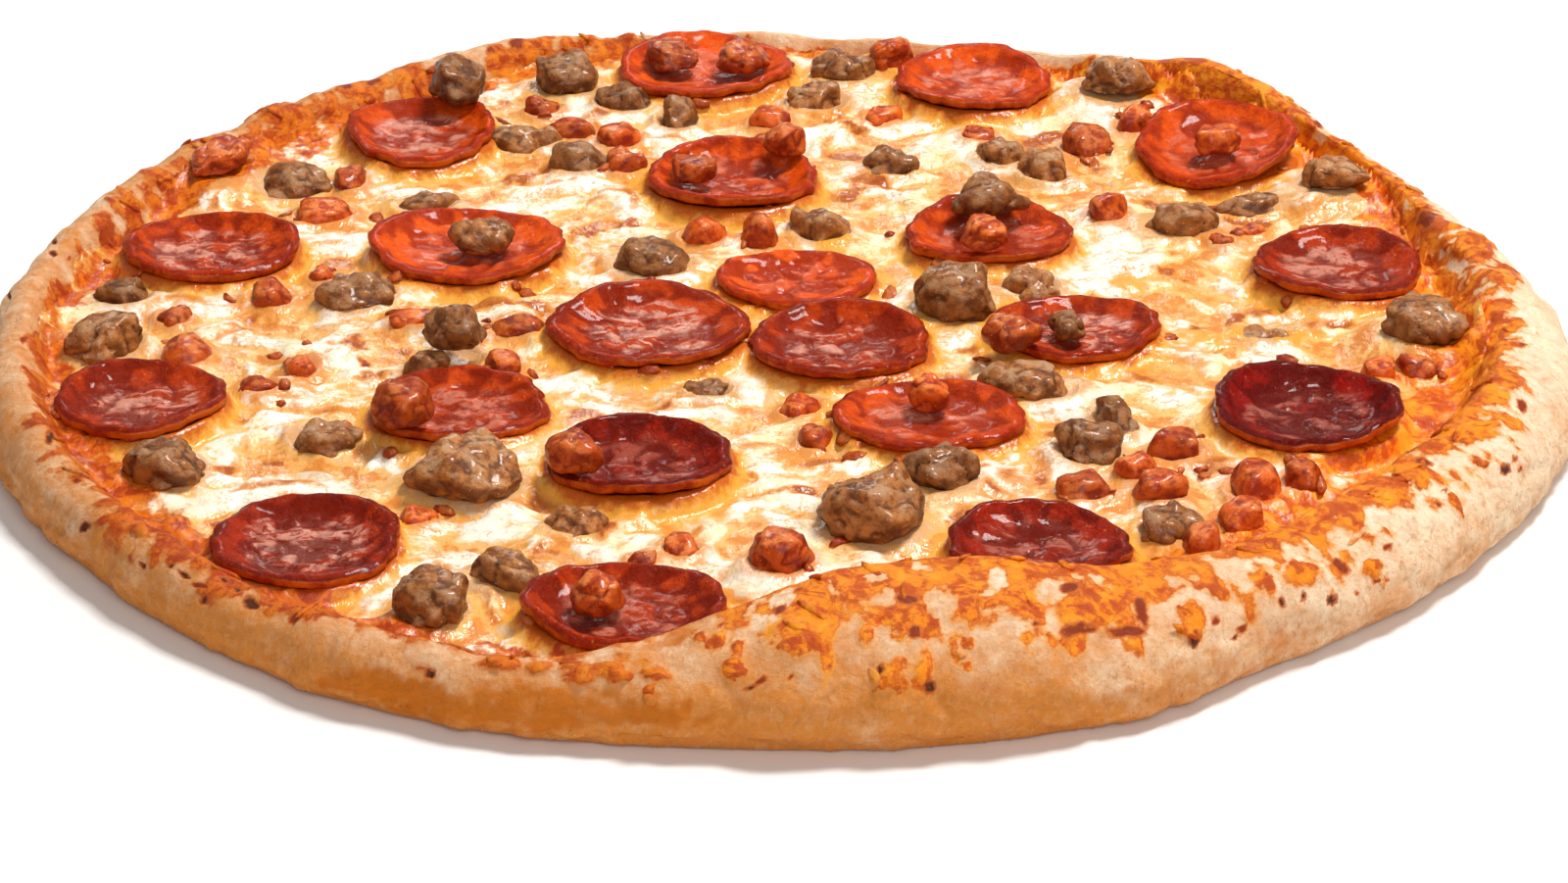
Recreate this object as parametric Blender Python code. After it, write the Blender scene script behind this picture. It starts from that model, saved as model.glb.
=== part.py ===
"""A whole meat pizza, about 14 inches across: baked crust, cheese layer and separate meat toppings."""

import math

import bmesh
import bpy
import numpy as np
from mathutils import Matrix, Vector, noise
from mathutils.bvhtree import BVHTree
from mathutils.geometry import delaunay_2d_cdt

# Every size below is in millimetres and every angle in degrees; meshes are made in metres.
MM = 0.001
GAP = 0.35

# Crust
SECTIONS = 96
FLOOR = 4.0
TUCK = 7.0
BELLY_SHARE = 0.30
LOWER_RINGS = 2
OUTER_RINGS = 4
INNER_RINGS = 4
STATION_BLEND = 7
RIM_ROUGHNESS = 0.7
RIM_GRAIN = 21.0

# Rim stations: angle from +X, outer radius, crest inset, foot inset, crest height
RIM_STATIONS = (
    (0, 181, 17, 31, 19),
    (17, 175, 14, 22, 18),
    (27, 173.5, 7, 11, 14.5),
    (36, 177, 9, 14, 16),
    (43, 179, 12, 19, 20),
    (49, 182, 13, 21, 24),
    (57, 181, 11, 18, 17),
    (68, 179, 6, 12, 13),
    (83, 176, 5, 11, 12),
    (97, 180, 5, 11, 12),
    (106, 181, 7, 15, 13.5),
    (114, 183.5, 9, 19, 16),
    (125, 178.5, 9, 21, 15),
    (150, 178, 9, 21, 15.5),
    (180, 178.5, 9, 19, 16.5),
    (200, 178, 10, 20, 16.5),
    (215, 174.5, 10, 21, 16),
    (245, 173.3, 9, 18, 15),
    (256, 171, 11, 18, 15.5),
    (265, 169.7, 22, 31, 20),
    (275, 171, 32, 42, 26),
    (286, 173, 34, 45, 28),
    (296, 173.5, 28, 39, 22),
    (306, 170.5, 19, 31, 21),
    (318, 173.5, 20, 31, 21),
    (330, 176, 20, 31, 21.5),
    (345, 181, 18, 31, 20),
)

# Cheese layer
CHEESE_LEVEL = 8.6
CHEESE_EDGE_RING = 2
CHEESE_EDGE_THICK = 1.0
CHEESE_SLOPE_THICK = 2.4
CHEESE_SHORE = 3.0
CHEESE_GRID = 11.0
CHEESE_WAVE = 0.8
CHEESE_WAVE_LENGTH = 26.0
CHEESE_WAVE_SLICE = 7.0
GRID_CLEARANCE = 0.6

# Pepperoni slices
SLICE_THICK = 2.3
SLICE_SIDES = 16
SLICE_MID = 0.62
SLICE_UNEVENNESS = 0.07
SLICE_UNEVENNESS_STEP = 2.3
CURL_UNEVENNESS = 0.35
CURL_TURN_STEP = 1.9
SLICE_TILTS = (3.0, 6.0, 10.0, 14.0)
TILT_DIRECTIONS = 8

# Pepperoni: x, y, half width, half depth, lift of the curled edge
PEPPERONI = (
    (-17, 152, 21.5, 20, 2.5),
    (50, 142, 19.5, 20, 3.0),
    (-87.5, 110, 18.5, 20, 3.0),
    (109, 98, 19.5, 20, 3.0),
    (-10, 82, 21, 19, 3.5),
    (-132, 42, 21, 18, 2.5),
    (-72, 43, 22.5, 20, 3.0),
    (51, 50, 19.5, 18, 3.0),
    (131, 32, 19.5, 19, 3.0),
    (5, 27, 18.5, 14.5, 1.0),
    (-28, -1, 22, 21, 3.0),
    (15, -8.5, 20, 19, 3.0),
    (68, 0, 19, 16, 2.0),
    (-139, -36.5, 18.5, 18, 2.5),
    (-69, -39.5, 20, 17, 2.5),
    (34, -43, 21, 16, 1.5),
    (116.5, -42, 20.5, 20, 4.0),
    (-28.5, -66, 20, 17.5, 3.5),
    (-97, -101, 19.5, 19.5, 2.0),
    (-30, -130.5, 20.5, 17, 3.5),
    (55, -104, 19, 17.5, 2.5),
)

# Loose pieces of sausage: x, y, half length, half width, height, turn
SAUSAGE = (
    (-79.5, 126.5, 8, 9, 11, 20),
    (-53, 145, 10, 9, 9.5, 10),
    (-68, 42, 8.5, 7, 8, 20),
    (-29, 37, 11, 8, 7, -20),
    (18, 153, 9.5, 8, 7, -30),
    (86, 134, 11, 8, 7.5, 5),
    (51.5, 59, 9.5, 8, 9, 30),
    (97, 59, 10, 8, 7, -5),
    (135, 76.5, 11.5, 7, 6.5, 15),
    (-96, 20, 10.5, 8, 6, 10),
    (-151, -6, 10.5, 9.5, 9.5, 40),
    (-71.5, -11.5, 8, 8, 10, 40),
    (42, 12, 11, 10.5, 12, 20),
    (57, -27, 12, 7.5, 7, -15),
    (68, -57, 8, 8, 9, 0),
    (147, -4, 11, 9.5, 9, -20),
    (-65, -72, 14, 11.5, 12, -10),
    (-130, -68, 10.5, 9, 8.5, 0),
    (21, -90, 12.3, 11.5, 14, 10),
    (36, -70, 8, 8, 9, 50),
    (-69, -127, 9.5, 9, 11, 60),
    (-54.5, -114, 9, 7, 7, -20),
    (66, -4, 4.5, 5, 6, 30),
)

# Loose pieces of bacon and ham: x, y, half length, half width, height, turn
BACON = (
    (-26.5, 151, 8.5, 8, 6.5, 10),
    (-8, 150, 8, 8, 6.5, 60),
    (108, 94, 6.5, 6, 7, 10),
    (-20, 79, 7.5, 6, 5.5, 0),
    (3, 91, 5.5, 6, 8, 25),
    (49, 38, 7, 6, 7, 20),
    (53, -12.5, 7.5, 6.5, 8, 35),
    (-134, 86, 7, 13, 5, -12),
    (34, -40, 5.2, 5.2, 8, 0),
    (-42.5, -72, 6.6, 6.5, 9, 15),
    (-35.5, -131, 5.8, 6, 8.5, 0),
    (-80, -51, 7.8, 7.5, 10, 20),
    (1.5, -107, 7.5, 6.5, 9, 30),
    (30.5, 160, 6.5, 6, 8, 0),
)

# Small pieces stuck in the cheese: kind, x, y, half length, half width, height, turn
STUCK_PIECES = (
    ("sausage", -38, 133, 8, 6.5, 6.5, -15),
    ("sausage", -24, 123, 6, 6.5, 7, 0),
    ("sausage", -62, 109, 9.5, 6.5, 6, 10),
    ("sausage", -48, 95, 7, 6, 7, 0),
    ("sausage", -84, 72, 9, 5, 4, 5),
    ("sausage", 11, 135, 9, 7, 5.5, -20),
    ("sausage", 29, 93, 6.5, 6, 7, 0),
    ("sausage", 56, 100, 6, 6, 6, 0),
    ("sausage", 66, 90, 7.5, 6, 8, -40),
    ("sausage", 116, 70, 10, 5, 5, 8),
    ("sausage", 11, 57, 7.5, 6.5, 6, -25),
    ("sausage", -150, 20, 7.5, 6, 5.5, 10),
    ("sausage", -77, -19, 5.5, 5, 6.5, 0),
    ("sausage", 60, 24, 7, 6.5, 7, 25),
    ("sausage", 74, -43, 4.5, 7.5, 7, 10),
    ("sausage", -98, -50, 8, 8, 6, 35),
    ("sausage", -41, -90, 7.5, 5, 5.5, 0),
    ("sausage", 83, -91, 8, 7, 6, 10),
    ("sausage", 112, 1, 8, 4, 2.5, 5),
    ("sausage", -14, -27, 6, 5, 3, 20),
    ("sausage", -117, 83, 10, 8, 7, 15),
    ("bacon", 90, 119, 5, 6, 7, 0),
    ("bacon", 77, 106, 7, 6.5, 7, 30),
    ("bacon", 80, 66, 5, 5, 7.5, 0),
    ("bacon", -1, 124, 6, 5, 5, 20),
    ("bacon", -2, 107, 4.5, 4.5, 5, 0),
    ("bacon", 51, 113, 4.5, 4, 4, 0),
    ("bacon", 27, 126, 5, 4.5, 4.5, 35),
    ("bacon", -50, 115, 6, 5, 5.5, 0),
    ("bacon", -38, 111, 6, 5.5, 5.5, 30),
    ("bacon", -58, 129, 5, 4.5, 4.5, 0),
    ("bacon", -36, 95, 5.5, 5.5, 5.5, 15),
    ("bacon", -108, 66, 9, 5.5, 5, 10),
    ("bacon", -103, 85, 4.5, 6, 5, 0),
    ("bacon", -3, 51, 4.8, 4.8, 9, 0),
    ("bacon", -17, 54, 6.5, 5, 6, 0),
    ("bacon", -116, 21, 6, 5.5, 5, 0),
    ("bacon", -105, 32, 4, 3.5, 3.5, 0),
    ("bacon", -137, 9, 4.5, 4.5, 4, 0),
    ("bacon", -132, -9, 5.5, 8, 5.5, 0),
    ("bacon", -82, 8, 6, 4.5, 4, 0),
    ("bacon", -58, 4, 6.5, 5, 4.5, 0),
    ("bacon", -61, -16, 5, 4.5, 5.5, 20),
    ("bacon", 6, -36, 5.5, 4.5, 4, 30),
    ("bacon", 9, -50, 4, 6, 4, -20),
    ("bacon", -19, -100, 4.5, 4.5, 5, 30),
    ("bacon", -27, -105, 3.5, 3.5, 3.5, 0),
    ("bacon", 87, -56, 6.5, 5.5, 6.5, 10),
    ("bacon", 78, -66, 5.5, 5, 5.5, 25),
    ("bacon", 66, -75, 6.5, 5, 5.5, 0),
    ("bacon", 82, -76, 6, 5, 6.5, 0),
    ("bacon", 102, -74, 6.5, 7, 8, 15),
    ("bacon", 113, -70, 4.5, 5.5, 6.5, -10),
    ("bacon", 98, -88, 5.5, 6, 6.5, 0),
    ("bacon", 135, -19, 4.5, 4.5, 5.5, 0),
    ("bacon", 144, -18, 4.5, 4.5, 5.5, 20),
    ("bacon", -105, -16, 4, 5.5, 4, 0),
    ("bacon", -114, -26, 5, 4, 3.5, 0),
    ("bacon", 89, -98, 5.5, 5.5, 6, 0),
    ("bacon", -75, -87, 4.5, 4, 4, 0),
    ("bacon", 106, 50, 3.5, 3, 3, 0),
    ("bacon", 113, 56, 3.5, 3, 3, 0),
)
STUCK_DEPTH = 1.6
STUCK_SIDES = 6
STUCK_RINGS = 4

# Loose pieces
LUMP_REST_SHARE = 0.36
SAUSAGE_ROUGHNESS = 0.17
BACON_ROUGHNESS = 0.07
BACON_SQUARENESS = 0.45
BACON_CUBE_SIZE = 0.85
LUMP_NOISE_SCALE = 1.7
LUMP_NOISE_STEP = Vector((3.1, 0.0, 0.0))

# Lowering a topping onto what lies below it
DROP_FROM = 60.0
COARSE_STEP = 1.0
FINE_STEP = 0.1

CRUST_COLOUR = (0.78, 0.52, 0.27)
CHEESE_COLOUR = (0.92, 0.80, 0.52)
PEPPERONI_COLOUR = (0.42, 0.06, 0.03)
SAUSAGE_COLOUR = (0.30, 0.17, 0.09)
BACON_COLOUR = (0.55, 0.15, 0.06)


def clear_scene():
    """Remove every object of the open file."""
    for old in list(bpy.data.objects):
        bpy.data.objects.remove(old, do_unlink=True)


def food_material(name, colour, roughness):
    """A plain Principled material in one food's colour."""
    material = bpy.data.materials.new(name)
    material.use_nodes = True
    shader = material.node_tree.nodes["Principled BSDF"]
    shader.inputs["Base Color"].default_value = (*colour, 1.0)
    shader.inputs["Roughness"].default_value = roughness
    shader.inputs["Metallic"].default_value = 0.0
    return material


def new_object(name, points, faces, material):
    """One mesh object from points in millimetres and faces by index."""
    mesh = bpy.data.meshes.new(name)
    mesh.from_pydata([Vector(p) * MM for p in points], [], faces)
    mesh.materials.append(material)
    mesh.shade_smooth()
    mesh.validate()
    obj = bpy.data.objects.new(name, mesh)
    bpy.context.scene.collection.objects.link(obj)
    return obj


def waviness(x, y, z, length):
    """Smooth unevenness between about -1 and 1 at a point, over a given length."""
    return noise.noise(Vector((x, y, z)) / length)


def station_value(angle, column):
    """One column of the rim stations at an angle, blended over its neighbours."""
    steps = np.arange(-STATION_BLEND, STATION_BLEND + 1)
    weights = np.exp(-((steps / (0.5 * STATION_BLEND)) ** 2))
    angles = [row[0] for row in RIM_STATIONS]
    values = [row[column] for row in RIM_STATIONS]
    near = np.interp(angle + steps, angles, values, period=360)
    return float(np.dot(near, weights) / weights.sum())


def rim_profile(angle):
    """Radius and height of the rim from its underside over the crest to the floor of the crust."""
    outer, crest_inset, foot_inset, height = (station_value(angle, c) for c in (1, 2, 3, 4))
    belly = BELLY_SHARE * height
    profile = [(outer - TUCK, 0.0)]
    for ring in range(1, LOWER_RINGS + 1):
        turn = 0.5 * math.pi * ring / LOWER_RINGS
        profile.append((outer - TUCK * (1 - math.sin(turn)), belly * (1 - math.cos(turn))))
    for ring in range(1, OUTER_RINGS + 1):
        turn = 0.5 * math.pi * ring / OUTER_RINGS
        radius = outer - crest_inset * (1 - math.cos(turn))
        profile.append((radius, belly + (height - belly) * math.sin(turn)))
    for ring in range(1, INNER_RINGS + 1):
        share = ring / INNER_RINGS
        radius = outer - crest_inset - (foot_inset - crest_inset) * share
        fall = 0.5 - 0.5 * math.cos(math.pi * share)
        profile.append((radius, height - (height - FLOOR) * fall))
    return profile


def around(radius, height, angle):
    """A point in space from its radius, height and angle."""
    return (radius * math.cos(math.radians(angle)), radius * math.sin(math.radians(angle)), height)


def rough_rim_point(radius, height, angle):
    """A point of the rim, moved a little by its unevenness, which fades out at the flat underside."""
    x, y, z = around(radius, height, angle)
    fade = min(max((height - FLOOR) / FLOOR, 0.0), 1.0)
    z += RIM_ROUGHNESS * fade * waviness(x, y, 0.0, RIM_GRAIN)
    return (x, y, z)


def join_rings(first, second, count):
    """Triangles of the band between two rings that start at two point numbers."""
    faces = []
    for i in range(count):
        j = (i + 1) % count
        faces.append((first + i, first + j, second + j))
        faces.append((first + i, second + j, second + i))
    return faces


def section_angles():
    """The angles of the crust's sections."""
    return [360.0 * i / SECTIONS for i in range(SECTIONS)]


def make_crust(material):
    """The crust: a flat underside, a puffed rim and a floor under the cheese."""
    profiles = [rim_profile(angle) for angle in section_angles()]
    points = []
    for ring in range(len(profiles[0])):
        for angle, profile in zip(section_angles(), profiles):
            points.append(rough_rim_point(*profile[ring], angle))
    faces = []
    for ring in range(len(profiles[0]) - 1):
        faces += join_rings(ring * SECTIONS, (ring + 1) * SECTIONS, SECTIONS)
    under_centre = len(points)
    points.append((0.0, 0.0, 0.0))
    floor_centre = len(points)
    points.append((0.0, 0.0, FLOOR))
    last = (len(profiles[0]) - 1) * SECTIONS
    for i in range(SECTIONS):
        j = (i + 1) % SECTIONS
        faces.append((under_centre, j, i))
        faces.append((floor_centre, last + i, last + j))
    return new_object("crust", points, faces, material)


def lifted(profile, ring, distance):
    """A point of the rim's inner slope moved square off its surface."""
    before = profile[ring - 1]
    after = profile[min(ring + 1, len(profile) - 1)]
    along = (after[0] - before[0], after[1] - before[1])
    length = math.hypot(*along)
    radius = profile[ring][0] + distance * along[1] / length
    height = profile[ring][1] - distance * along[0] / length
    return radius, height


def cheese_height(x, y):
    """Height of the melted cheese at a place."""
    return CHEESE_LEVEL + CHEESE_WAVE * waviness(x, y, CHEESE_WAVE_SLICE, CHEESE_WAVE_LENGTH)


def cheese_grid(shore):
    """Evenly staggered places inside a ring of shore points."""
    radii = [math.hypot(p[0], p[1]) for p in shore]
    angles = section_angles()
    places = []
    row_spacing = CHEESE_GRID * math.sin(math.radians(60))
    rows = int(max(radii) / row_spacing) + 1
    for row in range(-rows, rows + 1):
        y = row * row_spacing
        for column in range(-rows, rows + 1):
            x = (column + 0.5 * (row % 2)) * CHEESE_GRID
            angle = math.degrees(math.atan2(y, x)) % 360
            reach = float(np.interp(angle, angles, radii, period=360))
            if math.hypot(x, y) < reach - GRID_CLEARANCE * CHEESE_GRID:
                places.append((x, y))
    return places


def make_cheese(material):
    """The cheese: a wavy sheet over the floor of the crust that climbs the rim's inner slope."""
    profiles = [rim_profile(angle) for angle in section_angles()]
    crest = LOWER_RINGS + OUTER_RINGS
    rings = [crest + CHEESE_EDGE_RING + i for i in range(INNER_RINGS - CHEESE_EDGE_RING + 1)]
    thick = np.linspace(CHEESE_EDGE_THICK, CHEESE_SLOPE_THICK, len(rings))
    under = []
    over = []
    for ring, depth in zip(rings, thick):
        for angle, profile in zip(section_angles(), profiles):
            low = lifted(profile, ring, GAP)
            top = lifted(profile, ring, GAP + depth)
            if ring == rings[-1]:
                low = (profile[ring][0] - GAP, FLOOR + GAP)
                place = around(profile[ring][0] - CHEESE_SHORE, 0.0, angle)
                top = (profile[ring][0] - CHEESE_SHORE, cheese_height(place[0], place[1]))
            under.append(rough_rim_point(*low, angle))
            over.append(rough_rim_point(*top, angle) if ring != rings[-1] else around(*top, angle))
    points = under + over
    faces = []
    for k in range(len(rings) - 1):
        faces += [f[::-1] for f in join_rings(k * SECTIONS, (k + 1) * SECTIONS, SECTIONS)]
        start = len(under) + k * SECTIONS
        faces += join_rings(start, start + SECTIONS, SECTIONS)
    faces += join_rings(0, len(under), SECTIONS)
    centre = len(points)
    points.append((0.0, 0.0, FLOOR + GAP))
    last = (len(rings) - 1) * SECTIONS
    faces += [(centre, last + (i + 1) % SECTIONS, last + i) for i in range(SECTIONS)]
    shore_start = len(under) + last
    shore = points[shore_start : shore_start + SECTIONS]
    inside = cheese_grid(shore)
    flat = [Vector(p[:2]) for p in shore] + [Vector(p) for p in inside]
    edges = [(i, (i + 1) % SECTIONS) for i in range(SECTIONS)]
    made = delaunay_2d_cdt(flat, edges, [], 1, 1e-6)
    inside_start = len(points)
    points += [(x, y, cheese_height(x, y)) for x, y in inside]
    number = []
    for sources in made[3]:
        source = sources[0]
        number.append(shore_start + source if source < SECTIONS else inside_start + source - SECTIONS)
    faces += [tuple(number[v] for v in face) for face in made[2]]
    return new_object("cheese", points, faces, material)


def lump_mesh(kind, half_length, half_width, height, turn, seed, fine):
    """Points and faces of one piece of meat that rests on a flat base at height zero."""
    shape = bmesh.new()
    if fine:
        bmesh.ops.create_icosphere(shape, subdivisions=2, radius=1.0)
    else:
        bmesh.ops.create_uvsphere(shape, u_segments=STUCK_SIDES, v_segments=STUCK_RINGS, radius=1.0)
        bmesh.ops.triangulate(shape, faces=shape.faces[:])
    rest = LUMP_REST_SHARE * height
    turned = Matrix.Rotation(math.radians(turn), 3, "Z")
    for vert in shape.verts:
        unit = vert.co.copy()
        rough = SAUSAGE_ROUGHNESS
        if kind == "bacon":
            rough = BACON_ROUGHNESS
            cube = unit / max(abs(c) for c in unit)
            unit = unit.lerp(cube * BACON_CUBE_SIZE, BACON_SQUARENESS)
        unit *= 1.0 + rough * noise.noise(vert.co * LUMP_NOISE_SCALE + seed * LUMP_NOISE_STEP)
        place = Vector((unit.x * half_length, unit.y * half_width, rest + unit.z * (height - rest)))
        place.z = max(place.z, 0.0)
        vert.co = turned @ place
    shape.verts.index_update()
    points = [vert.co.copy() for vert in shape.verts]
    faces = [tuple(v.index for v in face.verts) for face in shape.faces]
    shape.free()
    return points, faces


def stick_pieces(cheese, materials):
    """Fuse the small pieces to the cheese with one Boolean union."""
    group = bpy.data.collections.new("stuck_pieces")
    bpy.context.scene.collection.children.link(group)
    for seed, (kind, x, y, half_length, half_width, height, turn) in enumerate(STUCK_PIECES):
        points, faces = lump_mesh(kind, half_length, half_width, height + STUCK_DEPTH, turn, seed, False)
        base = Vector((x, y, cheese_height(x, y) - STUCK_DEPTH))
        piece = new_object("stuck_piece", [p + base for p in points], faces, materials[kind])
        group.objects.link(piece)
        bpy.context.scene.collection.objects.unlink(piece)
    union = cheese.modifiers.new("Stuck pieces", "BOOLEAN")
    union.operation = "UNION"
    union.operand_type = "COLLECTION"
    union.collection = group
    union.solver = "EXACT"
    union.material_mode = "TRANSFER"
    graph = bpy.context.evaluated_depsgraph_get()
    joined = bpy.data.meshes.new_from_object(cheese.evaluated_get(graph))
    cheese.modifiers.clear()
    cheese.data = joined
    for piece in list(group.objects):
        bpy.data.objects.remove(piece, do_unlink=True)
    bpy.data.collections.remove(group)


def slice_mesh(half_width, half_depth, lift, seed):
    """Points and faces of one thin pepperoni slice with a curled edge."""
    points = []
    for side in (1, -1):
        points.append(Vector((0.0, 0.0, 0.5 * SLICE_THICK * side)))
        for share in (SLICE_MID, 1.0):
            for i in range(SLICE_SIDES):
                angle = 2 * math.pi * i / SLICE_SIDES
                around_slice = Vector((math.cos(angle), math.sin(angle), seed * SLICE_UNEVENNESS_STEP))
                bulge = 1 + SLICE_UNEVENNESS * noise.noise(around_slice)
                curl = lift * share**3 * (1 + CURL_UNEVENNESS * math.cos(2 * angle + seed * CURL_TURN_STEP))
                x = half_width * share * bulge * math.cos(angle)
                y = half_depth * share * bulge * math.sin(angle)
                points.append(Vector((x, y, curl + 0.5 * SLICE_THICK * side)))
    faces = []
    lower = 1 + 2 * SLICE_SIDES
    for i in range(SLICE_SIDES):
        j = (i + 1) % SLICE_SIDES
        faces.append((0, 1 + i, 1 + j))
        faces.append((lower, lower + 1 + j, lower + 1 + i))
    mid, edge = 1, 1 + SLICE_SIDES
    faces += [f[::-1] for f in join_rings(mid, edge, SLICE_SIDES)]
    faces += join_rings(lower + mid, lower + edge, SLICE_SIDES)
    faces += [f[::-1] for f in join_rings(edge, lower + edge, SLICE_SIDES)]
    return points, faces


def grown(points, faces, distance):
    """The points moved outwards along their normals."""
    normals = [Vector() for _ in points]
    for face in faces:
        a, b, c = (points[v] for v in face[:3])
        normal = (b - a).cross(c - a).normalized()
        for v in face:
            normals[v] += normal
    return [p + n.normalized() * distance for p, n in zip(points, normals)]


def resting_height(points, faces, x, y, below):
    """How far up a topping must be set at a place to stay a gap clear of all that lies below it."""
    wide = grown(points, faces, GAP)
    height = DROP_FROM
    for step in (COARSE_STEP, FINE_STEP):
        while height > -DROP_FROM:
            lower = Vector((x, y, height - step))
            tree = BVHTree.FromPolygons([p + lower for p in wide], faces)
            if tree.overlap(below):
                break
            height -= step
    return height


def lay_slice(points, faces, x, y, below):
    """Lower a slice at the tilt where its middle comes to rest lowest."""
    best = None
    turns = [Matrix.Identity(3)]
    for tilt in SLICE_TILTS:
        for k in range(TILT_DIRECTIONS):
            direction = 2 * math.pi * k / TILT_DIRECTIONS
            axis = Vector((math.cos(direction), math.sin(direction), 0.0))
            turns.append(Matrix.Rotation(math.radians(tilt), 3, axis))
    for turn in turns:
        tipped = [turn @ p for p in points]
        height = resting_height(tipped, faces, x, y, below)
        if best is None or height < best[0] - FINE_STEP:
            best = (height, tipped)
    return [p + Vector((x, y, best[0])) for p in best[1]]


class Pile:
    """What has been laid down so far, as one tree of triangles."""

    def __init__(self):
        self.points = []
        self.faces = []

    def add(self, points, faces):
        """Add a solid given by its points in millimetres and its faces."""
        start = len(self.points)
        self.points += points
        self.faces += [tuple(start + v for v in face) for face in faces]

    def tree(self):
        """The tree used to test what a new topping would touch."""
        return BVHTree.FromPolygons(self.points, self.faces)


def add_object(pile, obj):
    """Add a finished object to the pile."""
    obj.data.calc_loop_triangles()
    points = [v.co / MM for v in obj.data.vertices]
    pile.add(points, [tuple(t.vertices) for t in obj.data.loop_triangles])


def main():
    clear_scene()
    crust_finish = food_material("baked_crust", CRUST_COLOUR, 0.75)
    cheese_finish = food_material("melted_cheese", CHEESE_COLOUR, 0.35)
    pepperoni_finish = food_material("pepperoni", PEPPERONI_COLOUR, 0.3)
    finishes = {
        "sausage": food_material("sausage", SAUSAGE_COLOUR, 0.5),
        "bacon": food_material("bacon", BACON_COLOUR, 0.35),
    }
    crust = make_crust(crust_finish)
    cheese = make_cheese(cheese_finish)
    stick_pieces(cheese, finishes)
    pile = Pile()
    add_object(pile, crust)
    add_object(pile, cheese)
    for number, (x, y, half_width, half_depth, lift) in enumerate(PEPPERONI, 1):
        points, faces = slice_mesh(half_width, half_depth, lift, number)
        laid = lay_slice(points, faces, x, y, pile.tree())
        new_object(f"pepperoni_{number:02d}", laid, faces, pepperoni_finish)
        pile.add(laid, faces)
    for kind, rows in (("sausage", SAUSAGE), ("bacon", BACON)):
        for number, (x, y, half_length, half_width, height, turn) in enumerate(rows, 1):
            seed = number + len(kind)
            points, faces = lump_mesh(kind, half_length, half_width, height, turn, seed, True)
            base = Vector((x, y, resting_height(points, faces, x, y, pile.tree())))
            laid = [p + base for p in points]
            new_object(f"{kind}_{number:02d}", laid, faces, finishes[kind])
            pile.add(laid, faces)


main()
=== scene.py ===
"""Looks of a whole meat pizza: baked crust, melted cheese and separate meat toppings."""

import math

import bmesh
import bpy
import numpy as np
from bpy.props import FloatProperty, FloatVectorProperty, PointerProperty
from bpy.types import Operator, Panel, PropertyGroup
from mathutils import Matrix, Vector
from mathutils import noise as blender_noise
from mathutils.bvhtree import BVHTree


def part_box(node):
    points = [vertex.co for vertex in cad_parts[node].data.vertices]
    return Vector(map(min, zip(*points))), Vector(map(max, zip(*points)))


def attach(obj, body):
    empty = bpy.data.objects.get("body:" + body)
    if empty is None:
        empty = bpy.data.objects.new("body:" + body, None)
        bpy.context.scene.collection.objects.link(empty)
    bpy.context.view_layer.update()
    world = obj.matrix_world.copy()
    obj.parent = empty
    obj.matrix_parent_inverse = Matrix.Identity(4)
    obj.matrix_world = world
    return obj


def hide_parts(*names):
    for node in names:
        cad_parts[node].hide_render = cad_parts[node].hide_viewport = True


bl_info = {
    "name": "Meat pizza",
    "version": (1, 0, 0),
    "blender": (4, 5, 0),
    "location": "View3D > Sidebar > Pizza",
    "description": "Builds a baked meat pizza round its fixed solids",
    "category": "Object",
}

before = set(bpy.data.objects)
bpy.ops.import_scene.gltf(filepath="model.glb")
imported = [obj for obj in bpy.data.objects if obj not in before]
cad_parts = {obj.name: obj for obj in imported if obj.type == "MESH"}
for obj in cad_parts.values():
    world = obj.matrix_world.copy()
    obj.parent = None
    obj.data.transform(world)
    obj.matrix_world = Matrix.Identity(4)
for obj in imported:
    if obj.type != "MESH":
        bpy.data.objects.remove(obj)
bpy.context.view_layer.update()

# Lengths are in millimetres and angles in degrees, unless a name says otherwise
MM = 0.001
BODY = "root"

# The photograph's camera, in its own pixels
PHOTO_WIDTH = 1600
PHOTO_HEIGHT = 901
FOCAL_PIXELS = 4711.0
PHOTO_CENTRE = (789.6, 381.5)
CAMERA_DISTANCE = 1050.0
CAMERA_ELEVATION = 26.5
SENSOR_WIDTH = 36.0
ELEVATION_COSINE = math.cos(math.radians(CAMERA_ELEVATION))
ELEVATION_SINE = math.sin(math.radians(CAMERA_ELEVATION))
TO_CAMERA = np.array((0.0, -ELEVATION_COSINE, ELEVATION_SINE))
CAMERA_UP = np.array((0.0, ELEVATION_SINE, ELEVATION_COSINE))

# Crust
FLOOR = 4.0
TUCK = 7.0
BELLY_SHARE = 0.30
STATION_BLEND = 7
CRUST_SECTIONS = 960
CREST_EASE = 2.0
SHRED_ROOM = 1.4
UNDERSIDE_RINGS = 10
LOWER_RINGS = 11
OUTER_RINGS = 34
INNER_RINGS = 24

# Rim stations: angle from +X, outer radius, crest inset, foot inset, crest height
RIM_STATIONS = (
    (0, 181, 17, 31, 19), (17, 175, 14, 22, 18), (27, 173.5, 7, 11, 14.5), (36, 177, 9, 14, 16),
    (43, 179, 12, 19, 20), (49, 182, 13, 21, 24), (57, 181, 11, 18, 17), (68, 179, 6, 12, 13),
    (83, 176, 5, 11, 12), (97, 180, 5, 11, 12), (106, 181, 7, 15, 13.5), (114, 183.5, 9, 19, 16),
    (125, 178.5, 9, 21, 15), (150, 178, 9, 21, 15.5), (180, 178.5, 9, 19, 16.5),
    (200, 178, 10, 20, 16.5), (215, 174.5, 10, 21, 16), (245, 173.3, 9, 18, 15),
    (256, 171, 11, 18, 15.5), (265, 169.7, 22, 31, 20), (275, 171, 32, 42, 26), (286, 173, 34, 45, 28),
    (296, 173.5, 28, 39, 22), (306, 170.5, 19, 31, 21), (318, 173.5, 20, 31, 21),
    (330, 176, 20, 31, 21.5), (345, 181, 18, 31, 20),
)

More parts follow.
